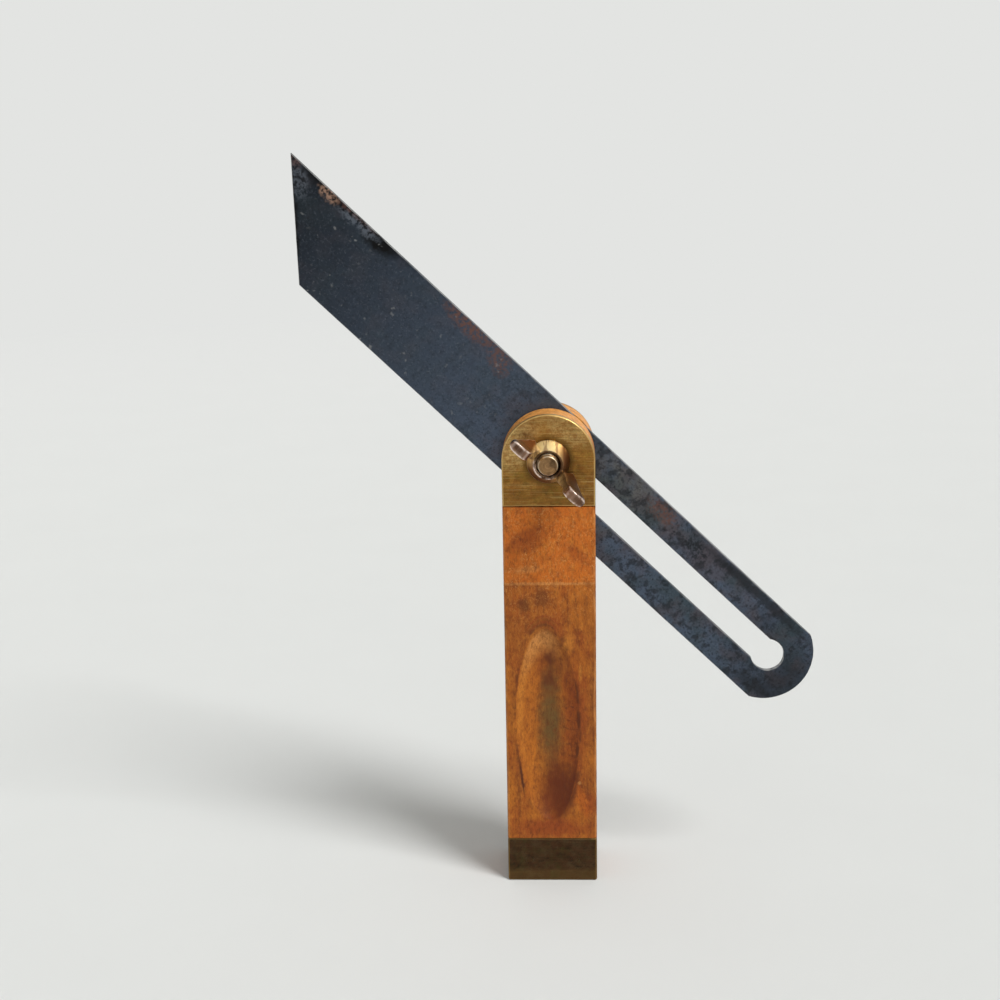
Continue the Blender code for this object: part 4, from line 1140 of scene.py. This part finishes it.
class BEVEL_OT_blade(bpy.types.Operator):
    """Makes the slotted steel blade with its keyhole and its 45 degree end"""
    bl_idname = "bevel.make_blade"
    bl_label = "Make Blade"
    bl_options = {"REGISTER", "UNDO"}

    def execute(self, context):
        s = context.scene.bevel_blade
        half = s.width / 2
        back = -s.thickness / 2
        slot_half = s.slot_width / 2
        keyhole_x = s.slot_length - s.screw_in_slot
        apex = keyhole_x + s.keyhole_from_end
        tip = apex - s.total

        # Upper half of the outline: each arc is one vertex swept about a centre on the blade's middle
        work = bmesh.new()
        ends = []
        for x, z, centre_x, turn, steps in (
            (apex, 0.0, apex - s.end_radius, asin(half / s.end_radius), 28),
            (keyhole_x + s.keyhole / 2, 0.0, keyhole_x, pi - asin(slot_half / (s.keyhole / 2)), 28),
            (-s.screw_in_slot, slot_half, -s.screw_in_slot, pi / 2, 16),
        ):
            first = work.verts.new((x, back, z))
            ends.append((first, sweep(work, first, (centre_x, back, 0.0), Y_AXIS, -turn, steps)))
        (end_first, end_last), (hole_first, hole_last), (slot_first, slot_last) = ends
        far_top = work.verts.new((tip - OVERRUN, back, half))
        far_low = work.verts.new((tip - OVERRUN, back, 0.0))
        for pair in ((end_last, far_top), (far_top, far_low), (far_low, slot_last),
                     (slot_first, hole_last), (hole_first, end_first)):
            work.edges.new(pair)
        bmesh.ops.contextual_create(work, geom=work.edges[:])
        everything = work.verts[:] + work.edges[:] + work.faces[:]
        bmesh.ops.mirror(work, geom=everything, axis="Z", merge_dist=MERGE_DISTANCE)
        extrude_by(work, work.faces[:], (0.0, s.thickness, 0.0))

        # The 45 degree end, and dulled edges
        bmesh.ops.bisect_plane(
            work, geom=work.verts[:] + work.edges[:] + work.faces[:], dist=MERGE_DISTANCE,
            plane_co=(tip + half, 0.0, 0.0), plane_no=(-1.0, 0.0, -1.0), clear_outer=True,
        )
        bmesh.ops.holes_fill(work, edges=[edge for edge in work.edges if edge.is_boundary])
        bmesh.ops.recalc_face_normals(work, faces=work.faces)
        rim = [edge for edge in work.edges
               if len(edge.link_faces) == 2 and edge.calc_face_angle() > radians(60.0)
               and abs(edge.verts[0].co.y - edge.verts[1].co.y) < MERGE_DISTANCE]
        round_off(work, rim, s.edge_round, 2)
        mark_wear(work, reach=0.00003, largest_face=0.000040)
        put(work, work.verts, s.fall, PIVOT)
        piece = add_piece("steel_blade", work)
        finish_piece(piece, blued_steel(s), "blade", ["blade"])
        return {"FINISHED"}


class BEVEL_OT_clamp_screw(bpy.types.Operator):
    """Makes the clamp screw with its thread, its flats and its slotted countersunk head"""
    bl_idname = "bevel.make_clamp_screw"
    bl_label = "Make Clamp Screw"
    bl_options = {"REGISTER", "UNDO"}

    def execute(self, context):
        s = context.scene.bevel_screw
        blade = context.scene.bevel_blade
        thread = s.thread / 2
        shank = s.shank / 2
        head = s.head / 2
        shoulder = -(FACE - context.scene.bevel_plate.thickness - SHOULDER_GAP)
        rim = SCREW_REAR - s.head_rim

        # Turned from one profile, with fine rings where the thread is pressed in
        end = thread - s.end_step
        start = SCREW_FRONT + s.end_length
        full = start + s.end_step
        rings = int((shoulder - start) / (s.pitch / RINGS_PER_TURN))
        profile = [
            (0.0, SCREW_FRONT), (end - s.end_chamfer, SCREW_FRONT), (end, SCREW_FRONT + s.end_chamfer),
            (end, start), (thread, full),
        ]
        profile += [(thread, full + (shoulder - full) * ring / rings) for ring in range(1, rings + 1)]
        profile += [(shank, shoulder), (shank, rim - head + shank), (head, rim), (head, SCREW_REAR),
                    (0.0, SCREW_REAR)]
        work = turn_profile(profile, 64)
        for vert in work.verts:
            across = vert.co - PIVOT
            radius = Vector((across.x, 0.0, across.z)).length
            if abs(radius - thread) > MERGE_DISTANCE or vert.co.y > shoulder - s.pitch / 4:
                continue
            phase = (vert.co.y / s.pitch + atan2(across.z, across.x) / (2 * pi)) % 1.0
            groove = max(0.0, 1.0 - abs(phase - 0.5) * GROOVE_SHARPNESS)
            shrink = 1.0 - s.thread_depth * groove / radius
            vert.co.x = across.x * shrink
            vert.co.z = PIVOT.z + across.z * shrink
        piece = add_piece("steel_screw", work)

        # Flats that ride in the blade's slot, and the screwdriver slot
        work = bmesh.new()
        flat = blade.slot_width / 2 - s.flat_gap
        wide = shank + OVERRUN
        kerf = context.scene.bevel_stock.kerf_width / 2
        for low, high in ((-wide, -flat), (flat, wide)):
            add_box(work, (-wide, -kerf, low), (wide, kerf, high))
        wide = head + OVERRUN
        low = (-wide, SCREW_REAR - s.slot_depth, -s.slot_width / 2)
        add_box(work, low, (wide, SCREW_REAR + OVERRUN, s.slot_width / 2))
        put(work, work.verts, blade.fall, PIVOT)
        carve(piece, work)
        mark_piece_wear(piece, reach=0.00010, largest_face=0.000002)
        finish_piece(piece, dull_steel(s), "screw", ["clamp_screw"])
        return {"FINISHED"}


class BEVEL_OT_wing_nut(bpy.types.Operator):
    """Makes the cast wing nut with its tapered boss, its two wings and its chamfered bore"""
    bl_idname = "bevel.make_wing_nut"
    bl_label = "Make Wing Nut"
    bl_options = {"REGISTER", "UNDO"}

    def execute(self, context):
        s = context.scene.bevel_nut
        screw = context.scene.bevel_screw

        # Boss, turned
        top = NUT_BASE - s.height
        profile = [(0.0, top), (s.top / 2, top), (s.base / 2, NUT_BASE - s.foot), (s.base / 2, NUT_BASE),
                   (0.0, NUT_BASE)]
        piece = add_piece("cast_wing_nut", turn_profile(profile, 96))

        # Wings, from a smooth outline
        curve = bpy.data.curves.new("wing_outline", "CURVE")
        curve.dimensions = "2D"
        curve.fill_mode = "BOTH"
        curve.extrude = s.wing_thickness / 2
        spline = curve.splines.new("BEZIER")
        spline.resolution_u = 8
        spline.use_cyclic_u = True
        spline.bezier_points.add(len(WING_OUTLINE_SHARES) - 1)
        span = s.reach - s.root_radius
        for knot, (out, up) in zip(spline.bezier_points, WING_OUTLINE_SHARES):
            knot.co = (s.root_radius + out * span, up * s.wing_height, 0.0)
            knot.handle_left_type = "AUTO"
            knot.handle_right_type = "AUTO"
        source = bpy.data.objects.new("wing_outline", curve)
        context.scene.collection.objects.link(source)
        graph = context.evaluated_depsgraph_get()
        graph.update()
        flat = bpy.data.meshes.new_from_object(source.evaluated_get(graph))
        bpy.data.objects.remove(source)
        work = bmesh.new()
        work.from_mesh(piece.data)
        for turn in (s.turn, s.turn + pi):
            before = len(work.verts)
            work.from_mesh(flat)
            work.verts.ensure_lookup_table()
            wing = work.verts[before:]
            bmesh.ops.scale(work, verts=wing, vec=(1.0, -1.0, 1.0))
            put(work, wing, turn, PIVOT + Y_AXIS * NUT_BASE)
        bmesh.ops.remove_doubles(work, verts=work.verts, dist=MERGE_DISTANCE)
        bmesh.ops.recalc_face_normals(work, faces=work.faces)
        work.to_mesh(piece.data)
        work.free()
        bpy.data.meshes.remove(flat)

        # One cast skin over boss and wings
        remesh = piece.modifiers.new("cast_skin", "REMESH")
        remesh.mode = "VOXEL"
        remesh.voxel_size = s.grain
        settle(piece)

        # The wings are thick at the foot, thinnest at the neck, and thicker again at their rounded ends
        out_of_turn = Matrix.Rotation(-s.turn, 3, "Y")
        into_turn = out_of_turn.inverted()
        for vert in piece.data.vertices:
            local = out_of_turn @ (vert.co - PIVOT)
            up = NUT_BASE - local.y
            out = abs(local.x)
            taper = min(1.0, max(0.0, up - s.foot) / (s.height - s.foot))
            boss = s.base / 2 + (s.top - s.base) / 2 * taper
            if up > s.height:
                boss = max(s.root_radius - s.fillet / 2, boss - (up - s.height))
            away = soft_step((out - boss) / s.fillet)
            thick = s.foot_thickness + (s.neck_thickness - s.foot_thickness) * soft_step(up / s.neck_height)
            past_neck = (up - s.neck_height) / (s.wing_height - s.neck_height)
            thick += (s.wing_thickness - s.neck_thickness) * soft_step(THICKENING * past_neck)
            past_end = max(0.0, out - s.reach + s.end_round) / s.end_round
            thick *= sqrt(max(END_LEAST_SQUARED, 1.0 - past_end * past_end))
            local.z *= 1.0 + (thick / s.wing_thickness - 1.0) * away
            vert.co = PIVOT + into_turn @ local
        smooth = piece.modifiers.new("soften", "SMOOTH")
        smooth.factor = 0.5
        smooth.iterations = s.smoothing
        settle(piece)

        # Bore with its chamfer
        bore = screw.thread / 2 + s.bore_gap
        wide = bore + s.chamfer
        profile = [(0.0, top - OVERRUN), (wide, top - OVERRUN), (wide, top), (bore, top + s.chamfer),
                   (bore, NUT_BASE + OVERRUN), (0.0, NUT_BASE + OVERRUN)]
        carve(piece, turn_profile(profile, 64))
        mark_piece_wear(piece, reach=0.00002, largest_face=1.0)
        finish_piece(piece, cast_brass(s), "nut", ["wing_nut"])
        return {"FINISHED"}


class BEVEL_OT_stage(bpy.types.Operator):
    """Makes the pale floor, the soft light and the camera"""
    bl_idname = "bevel.make_stage"
    bl_label = "Make Stage"
    bl_options = {"REGISTER", "UNDO"}

    def execute(self, context):
        s = context.scene.bevel_stage
        scene = context.scene

        # Round paper floor that sweeps up at its rim
        work = bmesh.new()
        middle = work.verts.new((0.0, 0.0, 0.0))
        bend = work.verts.new((s.floor_radius, 0.0, 0.0))
        last = sweep(work, bend, (s.floor_radius, 0.0, s.sweep), -Y_AXIS, pi / 2, 24)
        wall_top = work.verts.new(last.co + Vector((0.0, 0.0, s.sweep / 2)))
        work.edges.new((middle, bend))
        work.edges.new((last, wall_top))
        bmesh.ops.spin(
            work, geom=work.verts[:] + work.edges[:], cent=(0.0, 0.0, 0.0), axis=(0.0, 0.0, 1.0),
            angle=2 * pi, steps=128, use_merge=True,
        )
        bmesh.ops.remove_doubles(work, verts=work.verts, dist=MERGE_DISTANCE)
        bmesh.ops.recalc_face_normals(work, faces=work.faces)
        if middle.is_valid and middle.normal.z < 0:
            bmesh.ops.reverse_faces(work, faces=work.faces)
        floor = add_piece("paper_sweep", work)
        floor.data.shade_smooth()
        floor.data.materials.append(matt_paper(s))

        # One large soft light from the upper right in front, far away so that the floor is evenly lit
        lamp = bpy.data.lights.new("soft_key", "SUN")
        lamp.energy = s.key_strength
        lamp.angle = s.key_angle
        holder = bpy.data.objects.new("soft_key", lamp)
        holder.rotation_euler = LIGHT_FROM.to_track_quat("Z", "Y").to_euler()
        holder.location = LIGHT_FROM
        scene.collection.objects.link(holder)

        # Even light all round, seen as a pale backdrop
        world = bpy.data.worlds.new("studio")
        world.use_nodes = True
        tree = world.node_tree
        tree.nodes.clear()
        seen = seen_directly(tree)
        strength = node(tree, "MapRange", {"Value": seen, "To Min": s.world_strength, "To Max": 1.0})
        light = node(tree, "Background", {"Color": s.floor, "Strength": strength})
        node(tree, "OutputWorld", {"Surface": light})
        scene.world = world

        # Camera at the photograph's viewing angle
        camera = bpy.data.cameras.new("camera")
        camera.sensor_fit = "HORIZONTAL"
        camera.sensor_width = 36.0
        camera.lens = s.lens
        camera.clip_start = 0.01
        holder = bpy.data.objects.new("camera", camera)
        turn = Matrix.Rotation(-s.azimuth, 4, "Z") @ Matrix.Rotation(pi / 2 - s.elevation, 4, "X")
        holder.matrix_world = Matrix.Translation(s.eye) @ turn @ Matrix.Rotation(s.roll, 4, "Z")
        scene.collection.objects.link(holder)
        scene.camera = holder
        scene.view_settings.view_transform = "Standard"
        return {"FINISHED"}


SETTINGS = {
    "bevel_stock": StockSettings,
    "bevel_plate": PlateSettings,
    "bevel_tip": TipSettings,
    "bevel_blade": BladeSettings,
    "bevel_screw": ScrewSettings,
    "bevel_nut": NutSettings,
    "bevel_stage": StageSettings,
}
OPERATORS = (
    BEVEL_OT_stock,
    BEVEL_OT_plates,
    BEVEL_OT_plate_pins,
    BEVEL_OT_butt_tip,
    BEVEL_OT_blade,
    BEVEL_OT_clamp_screw,
    BEVEL_OT_wing_nut,
    BEVEL_OT_stage,
)


class BEVEL_PT_panel(bpy.types.Panel):
    """Lists the pieces of the sliding bevel and their sizes and colours"""
    bl_idname = "BEVEL_PT_panel"
    bl_label = "Sliding Bevel"
    bl_space_type = "VIEW_3D"
    bl_region_type = "UI"
    bl_category = "Sliding Bevel"

    def draw(self, context):
        for operator in OPERATORS:
            self.layout.operator(operator.bl_idname)
        for name in SETTINGS:
            group = getattr(context.scene, name)
            box = self.layout.box()
            for key in group.__annotations__:
                box.prop(group, key)


def register():
    for name, group in SETTINGS.items():
        bpy.utils.register_class(group)
        setattr(bpy.types.Scene, name, PointerProperty(type=group))
    for operator in OPERATORS:
        bpy.utils.register_class(operator)
    bpy.utils.register_class(BEVEL_PT_panel)


def unregister():
    bpy.utils.unregister_class(BEVEL_PT_panel)
    for operator in reversed(OPERATORS):
        bpy.utils.unregister_class(operator)
    for name, group in SETTINGS.items():
        delattr(bpy.types.Scene, name)
        bpy.utils.unregister_class(group)


def main():
    register()
    bpy.ops.bevel.make_stock()
    bpy.ops.bevel.make_plates()
    bpy.ops.bevel.make_plate_pins()
    bpy.ops.bevel.make_butt_tip()
    bpy.ops.bevel.make_blade()
    bpy.ops.bevel.make_clamp_screw()
    bpy.ops.bevel.make_wing_nut()
    bpy.ops.bevel.make_stage()


if __name__ == "__main__":
    main()
